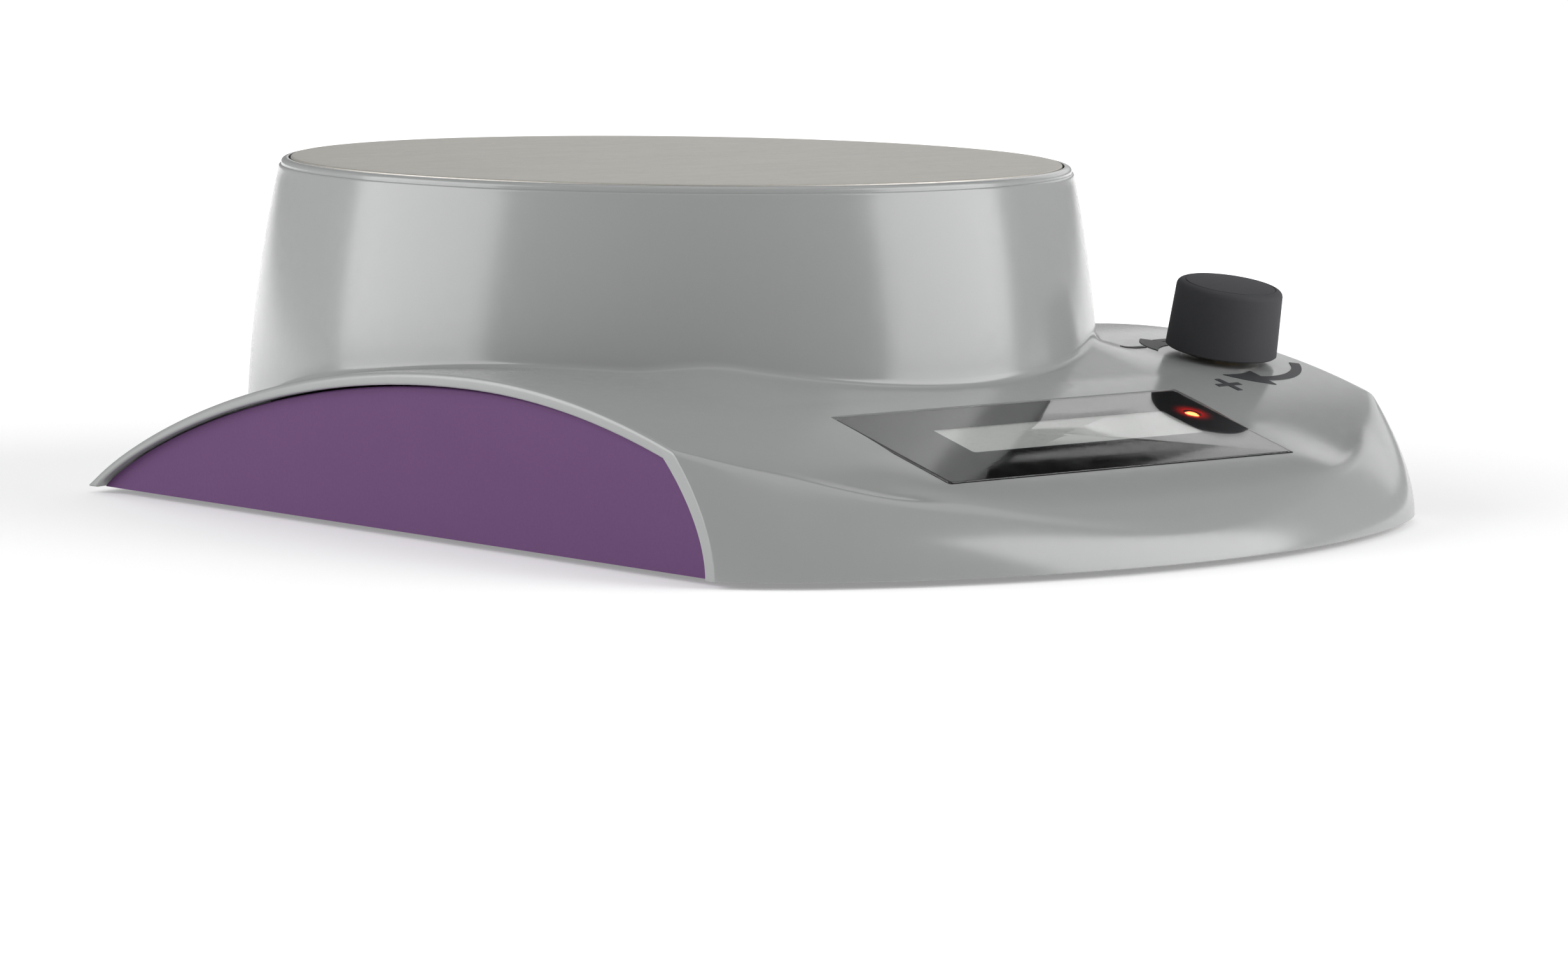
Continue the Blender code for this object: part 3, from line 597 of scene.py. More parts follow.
    def section(self, x: float, inset: float, count: int = 64) -> np.ndarray:
        """The body's outline at one x: back rim, deck, skirt, front rim.

        Args:
            x: Where the section is.
            inset: How much smaller it is all round.
            count: Points over the arch; the skirt has a third as many.

        Returns:
            Pairs of reach and height.
        """
        share = np.sin(np.linspace(math.pi / 2, 0, count // 2))
        back = self.peak_reach - share * (self.peak_reach - self.back_edge(x, inset))
        back_z = self.rim_z + (self.peak_z - inset - self.rim_z) * (1 - share ** 2) ** self.back_power
        width = float(self.skirt_width(x))
        shoulder = self.front_edge(x, inset + width)
        front = np.linspace(self.peak_reach, shoulder, count // 2)[1:]
        front_z = self.deck(x, front) - inset
        down = np.linspace(1, 0, count // 3)[1:]
        skirt = self.front_edge(x, inset + width * down ** self.skirt_power)
        skirt_z = self.rim_z + down * (front_z[-1] - self.rim_z)
        return np.column_stack([np.concatenate([back, front, skirt]),
                                np.concatenate([back_z, front_z, skirt_z])])

    def to_row(self, x: np.ndarray, reach: np.ndarray, z: np.ndarray) -> np.ndarray:
        """Points in the row frame from x, reach and height."""
        x, reach, z = np.broadcast_arrays(x, reach, z)
        return np.stack([x, self.drum_y - reach, z], -1)


# ---------------------------------------------------------------- housing

@dataclass
class Housing:
    """The light grey moulding: drum and arched body in one, hollow, open at both sides."""

    form: BodyForm
    plane: Matrix
    knob: Matrix
    wall: float = 2.0
    gap: float = 0.3
    rim_drop: float = 0.2           # the drum's lip below the plate's top
    fillet: float = 1.2             # between drum and deck
    front_round: float = 1.2        # crease over the front skirt
    side_round: float = 0.8         # outer edge of the lips
    lip_flare: float = 0.55         # inner edge of the lips
    front_columns: int = 150
    side_columns: int = 110
    back_columns: int = 80
    soften_passes: int = 8
    lip_r: float = 61.9             # outer radius of the drum's lip
    groove_out: float = 62.0        # where the groove under the lip meets the drum's shoulder
    groove_depth: float = 1.04      # the shoulder below the top of the lip
    drum_rows: int = 22
    deck_rows: int = 44
    screw_boss_r: float = 3.5
    screw_pilot_r: float = 1.3
    shaft_hole_r: float = 3.7
    light_hole_r: float = 1.7
    least_rise: float = 0.3         # the deck's least height above the rim

    def columns(self) -> tuple[np.ndarray, np.ndarray, np.ndarray]:
        """The columns round the body, anticlockwise from its front left corner.

        Returns:
            x of each column, its share along the side from front to back, and its side's number:
            0 front, 1 right, 2 back, 3 left.
        """
        form = self.form
        across = form.half_w * np.sin(np.linspace(-math.pi / 2, math.pi / 2, self.front_columns))
        along = (1 - np.cos(np.linspace(0, math.pi, self.side_columns + 2)[1:-1])) / 2
        behind = form.half_w * np.sin(np.linspace(math.pi / 2, -math.pi / 2, self.back_columns))
        x = np.concatenate([across, np.full(len(along), form.half_w), behind,
                            np.full(len(along), -form.half_w)])
        share = np.concatenate([np.zeros(len(across)), along, np.ones(len(behind)), along[::-1]])
        side = np.repeat([0, 1, 2, 3], [len(across), len(along), len(behind), len(along)])
        return x, share, side

    def edge(self, x: np.ndarray, share: np.ndarray, height: np.ndarray | float) -> np.ndarray:
        """Reach of the skirt at a share of its height: the front edge slopes in towards the top, and
        along the sides it runs evenly to the back edge."""
        form = self.form
        front = form.front_edge(x, form.skirt_width(x) * np.asarray(height) ** form.skirt_power)
        return front + share * (form.back_edge(x) - front)

    def deck_or_rim(self, x: np.ndarray, reach: np.ndarray) -> np.ndarray:
        """The deck's height, and where it would sink under the rim, a little above the rim."""
        return np.maximum(self.form.deck(x, reach), self.form.rim_z + self.least_rise)

    def outer(self) -> Rows:
        """The outer surface as one grid. Each column starts on the drum's axis, runs out over its
        lip, down its wall, round the fillet, over the deck, round the crease and down the skirt,
        and comes back under the rim.

        Returns:
            The grid of points.
        """
        form = self.form
        x, share, side = self.columns()
        reach = self.edge(x, share, 1.0)
        out = np.hypot(x, reach)
        ux, ur = x / out, reach / out
        out = np.maximum(out, form.drum_r + 0.06)
        crease = np.stack([ux * out, ur * out, self.deck_or_rim(x, reach)], -1)

        foot = np.full(len(x), form.drum_r - 1)
        for _ in range(8):
            foot_z = self.deck_or_rim(ux * foot, ur * foot)
            foot = np.minimum(form.drum_radius(form.plate_top - foot_z), out - 0.05)
        room = out - foot
        fillet = np.minimum(self.fillet, 0.4 * room)
        middle = np.clip(1 - (np.abs(x) / form.half_w) ** 8, 0, 1)
        soft = self.side_round + (self.front_round - self.side_round) * middle * (side == 0)
        soft = np.minimum(soft, 0.4 * room)

        def round_row(radius: np.ndarray, z: np.ndarray) -> np.ndarray:
            return np.stack(np.broadcast_arrays(ux * radius, ur * radius, z), -1)

        top = form.plate_top - self.rim_drop
        lip = [(5, top), (30, top), (55, top), (form.plate_r + 0.45, top), (form.plate_r + 0.6, top)]
        lip += [tuple(p) for p in bend((form.plate_r + 0.65, top), (self.lip_r - 0.05, top - 0.1),
                                         (self.lip_r, top - 0.7), 7)]
        lip += [(self.lip_r - 0.02, top - 0.95), (self.lip_r, top - self.groove_depth + 0.02)]
        wall_r = float(form.drum_radius(np.array(self.rim_drop + 1.5)))
        ledge = top - self.groove_depth
        shoulder = bend((self.groove_out, ledge), (wall_r - 0.02, ledge), (wall_r, top - 1.5), 5)
        lip += [tuple(p) for p in shoulder]
        rows = [round_row(r, z) for r, z in lip]
        start = form.plate_top - lip[-1][1]
        end = form.plate_top - foot_z - fillet
        for t in np.linspace(0, 1, self.drum_rows)[1:]:
            depth = start + t * (end - start)
            rows.append(round_row(form.drum_radius(depth), form.plate_top - depth))
        inner = foot + fillet
        begin = round_row(inner, self.deck_or_rim(ux * inner, ur * inner))
        rows += list(bend(rows[-1], round_row(foot, foot_z), begin, 10)[1:])
        first_deck = len(rows)
        last = out - soft
        for t in np.linspace(0, 1, self.deck_rows)[1:]:
            radius = inner + t * (last - inner)
            rows.append(round_row(radius, self.deck_or_rim(ux * radius, ur * radius)))
        height = crease[:, 2] - form.rim_z
        turn = np.clip(1 - soft / height, 0.4, 1)
        skirt = [self.skirt_row(x, share, crease, h) for h in
                 np.linspace(1, 0, 11)[:, None] ** 0.9 * turn]
        rows += list(bend(rows[-1], crease, skirt[0], 9)[1:])
        rows += skirt[1:]
        under = rows[-1].copy()
        rows[-1][:, 2] += 0.15
        for scale in (1 - 0.15 / form.drum_r, 0.9, 0.5, 0.05):
            rows.append(under * [scale, scale, 1])
        rows = np.array(rows)
        weight = np.clip(np.linspace(-1, 1, len(rows) - first_deck - 4), 0, 1)[:, None, None]
        plain = rows[first_deck:-4]
        eased = plain
        for _ in range(self.soften_passes):
            eased = (np.roll(eased, 1, 1) + 2 * eased + np.roll(eased, -1, 1)) / 4
        rows[first_deck:-4] = plain + np.minimum(3 * weight, 1) * (eased - plain)
        return form.to_row(rows[..., 0], rows[..., 1], rows[..., 2])

    def skirt_row(self, x: np.ndarray, share: np.ndarray, crease: np.ndarray,
                  height: np.ndarray) -> np.ndarray:
        """One row of the skirt, at a share of its height for each column."""
        reach = self.edge(x, share, height)
        flat = np.stack([x, reach], -1)
        radius = np.hypot(*flat.T)[:, None]
        flat = flat * np.maximum(radius, self.form.drum_r + 0.06) / radius
        z = self.form.rim_z + height * (crease[:, 2] - self.form.rim_z)
        return np.column_stack([flat, z])

    def arch_hollow(self) -> Rows:
        """The space under the arch: its outline inset by the wall, from side to side and past both
        ends, where it widens to round the lips' inner edges."""
        form = self.form
        inner = np.linspace(-1, 1, 41) * (form.half_w - self.lip_flare - 0.2)
        flare = np.linspace(0, math.pi / 2, 6)
        step = form.half_w - self.lip_flare + self.lip_flare * np.sin(flare)
        xs = np.concatenate([[-form.half_w - 3], -step[::-1], inner, step, [form.half_w + 3]])
        widen = self.lip_flare * (1 - np.cos(flare))
        insets = self.wall - np.concatenate([[widen[-1]], widen[::-1], np.zeros(len(inner)), widen,
                                             [widen[-1]]])
        rows = []
        for x, inset in zip(xs, insets):
            line = form.section(float(np.clip(x, -form.half_w, form.half_w)), inset)
            below = np.array([[line[-1, 0], form.rim_z - 6], [line[0, 0], form.rim_z - 6]])
            loop = np.concatenate([line, below])
            rows.append(form.to_row(x, loop[:, 0], loop[:, 1]))
        return np.array(rows)

    def tools(self) -> tuple[list[bpy.types.Object], list[bpy.types.Object], list[bpy.types.Object]]:
        """What is cut for the hollow, what is added inside it and what is cut last.

        Returns:
            Three lists of closed objects.
        """
        form = self.form
        axis = Matrix.Translation((0, form.drum_y, 0))
        seat = box_mm("plate_seal")[0][2] - self.gap
        depth = np.linspace(form.plate_top - seat + self.wall, form.plate_top + 6, 24)
        inside = [(float(r) - self.wall, form.plate_top - d)
                  for r, d in zip(form.drum_radius(depth), depth)]
        hollow = [mesh_object("arch_hollow", [closed_parts(self.arch_hollow())]),
                  mesh_object("drum_hollow", [closed_parts(turned(inside, axis, 180))])]
        width, height = label_size()
        ribs = [mesh_object("tray", [closed_parts(stacked(
            [(0, TRAY_TOP), (0, TRAY_BOTTOM)], width + 1.6, height + 1.6, 1.0, self.plane))])]
        bosses = [((low + high) / 2)[:2] for low, high in (box_mm(f"base_screw_{i}") for i in range(1, 5))]
        base_top = box_mm("base_plate")[0][2] + 2.0
        for i, (x, y) in enumerate(bosses, 1):
            roof = float(form.deck(x, form.drum_y - y)) - 1
            at = Matrix.Translation((x, y, 0))
            ribs.append(mesh_object(f"boss_{i}", [closed_parts(turned(
                [(self.screw_boss_r, roof), (self.screw_boss_r, base_top + self.gap)], at, 48))]))
        holes = [mesh_object("plate_pocket", [closed_parts(turned(
            [(form.plate_r + 0.35, form.plate_top + 4), (form.plate_r + 0.35, seat)], axis, 256))])]
        holes.append(mesh_object("lens_pocket", [closed_parts(stacked(
            [(0, 6), (0, LENS_SEAT)], width + self.gap, height + self.gap, 0.6, self.plane))]))
        holes.append(mesh_object("window_hole", [closed_parts(stacked(
            [(-0.5, LENS_SEAT + 1), (-0.5, TRAY_BOTTOM - 3)],
            WINDOW_W, WINDOW_H, 0.6, self.plane, (WINDOW_X, WINDOW_Y)))]))
        light = self.plane @ Matrix.Translation((LED_X, LED_Y, 0))
        holes.append(mesh_object("led_hole", [closed_parts(turned(
            [(self.light_hole_r, 0), (self.light_hole_r, -8)], light, 48))]))
        holes.append(mesh_object("shaft_hole", [closed_parts(turned(
            [(self.shaft_hole_r, 6), (self.shaft_hole_r, -8)], self.knob, 64))]))
        jack_low, jack_high = box_mm("dc_jack")
        sideways = Matrix.Translation((0, jack_high[1], (jack_low[2] + jack_high[2]) / 2)) \
            @ Matrix.Rotation(-math.pi / 2, 4, "X")
        holes.append(mesh_object("jack_hole", [closed_parts(turned(
            [(4.9, 3), (4.7, 0.42), (4.3, 0.1), (4.2, -0.2), (4.2, -8)], sideways, 64))]))
        for i, (x, y) in enumerate(bosses, 1):
            at = Matrix.Translation((x, y, 0))
            holes.append(mesh_object(f"pilot_{i}", [closed_parts(turned(
                [(self.screw_pilot_r, base_top + 8), (self.screw_pilot_r, -1)], at, 32))]))
        return hollow, ribs, holes

    def build(self) -> None:
        """Makes the housing and gives it its finish."""
        piece = mesh_object("housing_shell", [closed_parts(self.outer())])
        hollow, ribs, holes = self.tools()
        cut(piece, hollow, "DIFFERENCE")
        cut(piece, ribs, "UNION")
        cut(piece, holes, "DIFFERENCE")
        fit_out(piece, ABS_GREY, "housing", "top_housing")


@dataclass
class SidePanels:
    """The two purple panels that close the arch, each a little inside its lip."""

    form: BodyForm
    edge_round: float = 0.35
    inset: float = 2.3

    def build(self) -> None:
        """Makes both panels: the arch's outline at each level, smaller where the edge is round."""
        for node, side in (("side_panel_left", -1), ("side_panel_right", 1)):
            low, high = box_mm(node)
            faces = sorted((abs(low[0]), abs(high[0])))
            angle = np.linspace(0, math.pi / 2, 6)
            insets = self.inset + np.append(self.edge_round * (1 - np.sin(angle)), 0)
            across = np.append(faces[1] - self.edge_round * (1 - np.cos(angle)), faces[0])
            rows = [self.form.to_row(side * x, *self.form.section(faces[1], inset).T)
                    for x, inset in zip(across, insets)]
            fit_out(mesh_object(f"{node}_moulding", [closed_parts(np.array(rows))]), ABS_PURPLE,
                    "housing", node)


@dataclass
class StirringPlate:
    """The round steel plate with a softened edge."""

    form: BodyForm
    soft: float = 0.3

    def build(self) -> None:
        """Makes the plate as one turned shape."""
        low, high = box_mm("stirring_plate")
        r, top = self.form.plate_r, high[2]
        edge = bend((r - self.soft, top), (r, top), (r, top - self.soft), 7)
        profile = [(r * s, top) for s in (0.02, 0.2, 0.4, 0.6, 0.8, 0.95)] + [tuple(p) for p in edge]
        profile += [(r, low[2] + 0.2), (r - 0.2, low[2]), (r * 0.5, low[2]), (r * 0.02, low[2])]
        axis = Matrix.Translation((0, self.form.drum_y, 0))
        fit_out(mesh_object("steel_plate", [closed_parts(turned(profile, axis, 256))]), STAINLESS,
                "housing", "stirring_plate")


# ---------------------------------------------------------------- display

@dataclass
class DisplayPanel:
    """The clear cover, the black print behind it, the status light and the display."""

    plane: Matrix
    thickness: float = 0.35
    edge: float = 0.15
    corner: float = 0.6
    bow: float = 0.16              # how far the cover's middle stands above its edges
    ripple: float = 0.03           # the moulded cover's slow waves
    print_top: float = -0.38
    print_low: float = -0.5
    light_r: float = 1.4

    def cover(self) -> Rows:
        """The cover: rectangles that shrink to the middle, lifted front and back by a bow and slow
        waves, with a rounded edge."""
        width, height = label_size()
        outline = rectangle(width, height, self.corner, 192)
        scale = np.concatenate([np.linspace(0.02, 1, 40), np.ones(5), np.linspace(1, 0.02, 4)])
        angle = np.linspace(0, math.pi / 2, 5)
        inset = np.concatenate([np.full(40, self.edge), self.edge * (1 - np.sin(angle)), np.zeros(4)])
        z = np.concatenate([np.zeros(40), -self.edge * (1 - np.cos(angle)), np.full(4, -self.thickness)])
        flat = outline * scale[:, None, None] * (1 - inset[:, None, None] / (height / 2))
        u, v = flat[..., 0] / width * 2, flat[..., 1] / height * 2
        lift = self.bow * (1 - u ** 2) * (1 - v ** 2)
        lift += self.ripple * np.sin(5.0 * u + 1.5 * v) * np.cos(2.5 * v - 1.0) * (1 - v ** 2)
        lift[40:45] = 0
        points = np.concatenate([flat, (z[:, None] + lift)[..., None]], -1)
        return placed(points, self.plane)

    def light(self) -> Rows:
        """The status light: a clear red cylinder with a domed end under the cover."""
        at = self.plane @ Matrix.Translation((LED_X, LED_Y, 0))
        r, top, bottom = self.light_r, self.print_top - 0.04, -6.0
        dome = bend((0.1, top), (r, top), (r, top - 1.0), 10)
        return turned([tuple(p) for p in dome] + [(r, bottom + 0.1), (r - 0.1, bottom)], at, 64)

    def mask(self) -> bpy.types.Object:
        """The black print, with its window and the light's hole."""
        width, height = label_size()
        film = mesh_object("black_mask", [closed_parts(stacked(
            [(0.1, self.print_top), (0.1, self.print_low)], width, height, self.corner, self.plane))])
        window = mesh_object("mask_window", [closed_parts(stacked(
            [(0, 1), (0, -2)], WINDOW_W, WINDOW_H, 0.5, self.plane, (WINDOW_X, WINDOW_Y)))])
        hole = mesh_object("mask_hole", [closed_parts(turned(
            [(self.light_r + 0.12, 1), (self.light_r + 0.12, -2)],
            self.plane @ Matrix.Translation((LED_X, LED_Y, 0)), 64))])
        cut(film, [window, hole], "DIFFERENCE")
        return film

    def glass(self) -> Rows:
        """The display: a block that stands in the tray's opening, with its wider front just under the
        print, so that the whole window shows it at a low view."""
        bottom = box_mm("lcd_glass")[0][2] - self.plane.translation.z
        levels = [(-1.0, self.print_low - 0.1), (-1.0, LENS_SEAT + 0.15), (0.2, LENS_SEAT + 0.1),
                  (0.2, max(bottom, TRAY_BOTTOM - 1.5))]
        return stacked(levels, WINDOW_W, WINDOW_H, 0.5, self.plane, (WINDOW_X, WINDOW_Y))

    def build(self) -> None:
        """Makes the cover, its print, the light and the display."""
        fit_out(mesh_object("clear_cover", [closed_parts(self.cover())]), ACRYLIC, "housing",
                "control_lens")
        fit_out(mesh_object("status_light", [closed_parts(self.light())]), LED_RED, "housing",
                "status_led")
        at = self.plane @ Vector((LED_X, LED_Y, self.print_top))
        fit_out(self.mask(), BlackPrint("black screen print", "#060607", 0.8, "black_print", ior=1.08,
                                        bump_mm=0.002, light=tuple(at)), "housing", "lens_mask")
        fit_out(mesh_object("display_block", [closed_parts(self.glass())]), DISPLAY, "housing",
                "lcd_glass")
        dress(frame["nodes"]["lcd_bezel"], NICKEL)
        dress(frame["nodes"]["display_board"], SOLDER_MASK)


# ---------------------------------------------------------------- knob

def knob_axis() -> Matrix:
    """The knob's axis from its joint: Z points out of the deck."""
    joint = next(j for j in frame["joints"] if j["name"] == "knob_turn")
    out = -Vector(joint["axis"]).normalized()
    across = Vector((1, 0, 0))
    turn = Matrix((across, out.cross(across), out)).transposed().to_4x4()
    return Matrix.Translation(Vector(joint["pos_m"]) / MM) @ turn


@dataclass
class SpeedKnob:
    """The knob, with the nut and washer that hold its potentiometer under it."""

    axis: Matrix
    form: BodyForm
    foot_r: float = 8.75
    top_r: float = 8.35
    foot: float = 1.0
    top: float = 11.9
    dish_r: float = 6.95
    dish_rise: float = 0.28         # how far the top's middle stands above the groove's edge
    recess_r: float = 7.3           # the wide recess over the nut
    recess_top: float = 4.2
    bore_r: float = 5.3             # the bore that holds the insert
    bore_top: float = 10.4
    nut_corner_r: float = 5.6
    washer_r: float = 6.2
    ring_r: float = 12.0            # middle of the curved arrows' bands
    band_half: float = 0.8          # half the width of those bands
    head_half: float = 3.15         # half the width of their heads

    def profile(self) -> list[tuple[float, float]]:
        """The knob's outline, a closed loop: shallow dome, groove, round shoulder, tapered side,
        foot, and the recess and bore inside."""
        r = np.linspace(0.02, 1, 9) * self.dish_r
        dome = [(float(a), self.top - self.dish_rise * (a / self.dish_r) ** 2) for a in r]
        groove = [(self.dish_r + 0.1, self.top - 0.42), (self.dish_r + 0.22, self.top - 0.40)]
        shoulder = bend((self.dish_r + 0.3, self.top - 0.3), (self.top_r - 0.1, self.top - 0.45),
                        (self.top_r, self.top - 1.25), 9)
        side = [(self.top_r + t * (self.foot_r - self.top_r), self.top - 1.25
                 - t * (self.top - 1.25 - self.foot - 0.2)) for t in np.linspace(0, 1, 8)[1:]]
        inside = [(self.foot_r - 0.25, self.foot), (self.recess_r, self.foot),
                  (self.recess_r, self.recess_top), (self.bore_r, self.recess_top),
                  (self.bore_r, self.bore_top), (0.16, self.bore_top)]
        return dome + groove + [tuple(p) for p in shoulder] + side + inside

    def nut(self) -> Rows:
        """A hexagon nut with chamfered corners: its radius follows the hexagon, and is held back
        by a circle at both ends. A bore runs through it."""
        angle = np.linspace(0, 2 * math.pi, 96, endpoint=False)
        flat = self.nut_corner_r * math.cos(math.pi / 6)
        hexagon = flat / np.cos((angle + math.pi / 6) % (math.pi / 3) - math.pi / 6)
        levels = [(3.85, 3.0), (flat, 3.0), (5.25, 2.75), (5.65, 2.5), (5.65, 1.5), (5.25, 1.15),
                  (flat, 1.0), (3.85, 1.0)]
        rows = []
        for limit, z in levels:
            r = np.minimum(hexagon, limit)
            rows.append(np.stack([r * np.cos(angle), r * np.sin(angle), np.full_like(r, z)], -1))
        return placed(np.array(rows), self.axis)

    def build(self) -> None:
        """Makes the knob, the nut and the washer, and prints the marks round the knob."""
        fit_out(mesh_object("knob_cap", [closed_parts(turned(self.profile(), self.axis, 160))]),
                SOFT_TOUCH, "knob", "speed_knob")
        fit_out(mesh_object("fixing_nut", [closed_parts(self.nut(), wrap=True)]), NICKEL, "housing",
                "pot_nut")
        rim = self.washer_r
        ring = [(3.75, 0.7), (rim - 0.2, 0.7), (rim - 0.05, 0.62), (rim, 0.5), (rim - 0.05, 0.36),
                (rim - 0.15, 0.3), (3.75, 0.3)]
        fit_out(mesh_object("star_washer", [closed_parts(turned(ring, self.axis, 96), wrap=True)]),
                NICKEL, "housing", "pot_washer")
        fit_out(mesh_object("speed_marks", self.marks()), INK, "housing")

    def ribbon(self, x: np.ndarray, reach: np.ndarray, half: np.ndarray) -> tuple:
        """A thin band of ink on the deck along a line, with its own width at each point.

        Args:
            x: The line's x.
            reach: The line's reach.
            half: Half the band's width at each point.

        Returns:
            Points and faces of the band, a closed skin 0.1 mm above the deck and 0.1 mm into it.
        """
        dx, dr = np.gradient(x), np.gradient(reach)
        length = np.hypot(dx, dr)
        nx, nr = -dr / length, dx / length
        offset = np.concatenate([np.linspace(-1, 1, 5), np.linspace(1, -1, 5)])
        raised = np.repeat([0.1, -0.1], 5)
        px = x[:, None] + nx[:, None] * half[:, None] * offset
        pr = reach[:, None] + nr[:, None] * half[:, None] * offset
        return closed_parts(self.form.to_row(px, pr, self.form.deck(px, pr) + raised))

    def arrow(self, tail: float, neck: float, tip: float, tip_r: float) -> MeshParts:
        """A curved arrow round the knob: a band along an arc and a head that narrows to its tip.

        Args:
            tail: Angle of its tail, in degrees from the front towards +X.
            neck: Angle where the head starts.
            tip: Angle of its tip.
            tip_r: The tip's distance from the knob's axis.

        Returns:
            The two bands.
        """
        x0 = self.axis.translation.x
        reach0 = self.form.drum_y - self.axis.translation.y
        shaft = np.radians(np.linspace(tail, neck, 24))
        head = np.radians(np.linspace(neck, tip, 12))
        ring = self.ring_r
        head_r = np.linspace(ring - 0.4, tip_r, 12)
        band = np.full(24, self.band_half)
        return [self.ribbon(x0 + ring * np.sin(shaft), reach0 + ring * np.cos(shaft), band),
                self.ribbon(x0 + head_r * np.sin(head), reach0 + head_r * np.cos(head),
                            np.linspace(self.head_half, 0.03, 12))]

    def marks(self) -> MeshParts:
        """Two curved arrows, a plus and a minus."""
        plus, minus = (47.8, 74.6), (48.8, 53.0)
        bar, half = np.linspace(-2.5, 2.5, 6), 0.5
        arm = np.linspace(half, 2.5, 4)
        parts = self.arrow(58, -11, -44, 12.4) + self.arrow(128, 190, 236, 9.9)
        parts.append(self.ribbon(plus[0] + bar, np.full(6, plus[1]), np.full(6, half)))
        parts.append(self.ribbon(np.full(4, plus[0]), plus[1] + arm, np.full(4, half)))
        parts.append(self.ribbon(np.full(4, plus[0]), plus[1] - arm, np.full(4, half)))
        parts.append(self.ribbon(minus[0] + bar, np.full(6, minus[1]), np.full(6, half)))
        return parts


# ---------------------------------------------------------------- what lies underneath and inside

@dataclass
class Underside:
    """The feet and the screws of the base."""

    def foot(self, node: str) -> Rows:
        """A rubber foot: a disc with a rounded rim and a shallow hollow under it."""
        low, high = box_mm(node)
        r = (high[0] - low[0]) / 2
        profile = [(r * 0.1, high[2]), (r - 0.1, high[2]), (r, high[2] - 0.1)]
        profile += [tuple(p) for p in bend((r, low[2] + 0.7), (r, low[2]), (r - 0.7, low[2]), 7)]
        profile += [(r - 1.6, low[2]), (r - 2.2, low[2] + 0.35), (r * 0.1, low[2] + 0.35)]
        at = Matrix.Translation((*((low + high) / 2)[:2], 0))
        return turned(profile, at, 72)

    def screw(self, node: str, head_down: bool) -> Rows:
        """A pan-head screw with a round head, and a thread whose radius rises and falls with height
        and angle, so that its crest runs round as a helix."""
        low, high = box_mm(node)
        head_r = (high[0] - low[0]) / 2
        span = high[2] - low[2]
        head = bend((0.1, 0), (head_r, 0.0), (head_r, -0.9), 8)
        head = np.concatenate([head, [[head_r, -1.0], [1.0, -1.0]]])
        thread = np.linspace(-1.15, -span + 0.5, 60)
        radius = np.concatenate([head[:, 0], np.full(60, 1.05), [0.6]])
        height = np.concatenate([head[:, 1], thread, [-span]])
        angle = np.linspace(0, 2 * math.pi, 32, endpoint=False)
        wave = 0.13 * np.cos(2 * math.pi * height[:, None] / 0.7 - angle)
        r = radius[:, None] + np.where((np.arange(len(height)) >= len(head))[:, None], wave, 0)
        rows = np.stack([r * np.cos(angle), r * np.sin(angle), np.repeat(height[:, None], 32, 1)], -1)
        middle = (low + high) / 2
        if head_down:
            at = Matrix.Translation((middle[0], middle[1], low[2])) @ Matrix.Rotation(math.pi, 4, "X")
        else:
            at = Matrix.Translation((middle[0], middle[1], high[2]))
        return placed(rows, at)

    def build(self) -> None:
        """Makes the feet and every screw."""
        for i in range(1, 5):
            fit_out(mesh_object(f"rubber_foot_{i}", [closed_parts(self.foot(f"foot_{i}"))]), RUBBER,
                    "housing", f"foot_{i}")
        screws = [(f"base_screw_{i}", True) for i in range(1, 5)]
        screws += [(f"yoke_screw_{i}", False) for i in range(1, 5)]
        screws += [(f"board_screw_{i}", False) for i in (1, 2)]
        for node, down in screws:
            fit_out(mesh_object(f"{node}_thread", [closed_parts(self.screw(node, down))]), NICKEL,
                    "housing", node)
        dress(frame["nodes"]["base_plate"], ABS_DARK)


@dataclass
class Windings:
    """The four coils: each winding shows its turns."""

    wire: float = 0.8

    def winding(self, node: str) -> Rows:
        """A ring whose outer wall swells once for each turn of wire."""
        low, high = box_mm(node)
        outer = (high[0] - low[0]) / 2
        inner = 9.6
        turns = round((high[2] - low[2]) / self.wire)
        z = np.linspace(high[2] - 0.02, low[2] + 0.02, turns * 8 + 1)
        swell = np.abs(np.sin(math.pi * (high[2] - z) / (high[2] - low[2]) * turns))
        r = outer - 0.25 + 0.25 * swell
        profile = [(inner, high[2])] + list(zip(r, z)) + [(inner, low[2])]
        at = Matrix.Translation((*((low + high) / 2)[:2], 0))
        return turned(profile, at, 72)

    def build(self) -> None:
        """Makes the four windings."""
        for i in range(1, 5):
            fit_out(mesh_object(f"wound_coil_{i}", [closed_parts(self.winding(f"coil_winding_{i}"),
                                                                 wrap=True)]),
                    COPPER, "housing", f"coil_winding_{i}")


CARRIED_OVER = {
    RUBBER: ("plate_seal",),
    ELECTRICAL_STEEL: ("stator_yoke", "coil_core_1", "coil_core_2", "coil_core_3", "coil_core_4"),
    DARK_NYLON: ("coil_bobbin_1", "coil_bobbin_2", "coil_bobbin_3", "coil_bobbin_4", "pot_case",
                 "supply_capacitor", "power_inductor"),
    SOLDER_MASK: ("driver_board", "pot_track"),
    BLACK_ABS: ("driver_chip", "dc_jack", "inlet_lead", "knob_lead"),
    PALE_NYLON: ("coil_header", "display_header", "display_lead"),
    WIRE_RED: ("coil_lead",),
    BRASS: ("knob_insert", "pot_wiper", "pot_bushing", "jack_pin"),
    ALUMINIUM: ("pot_shaft",),
}


# ---------------------------------------------------------------- studio

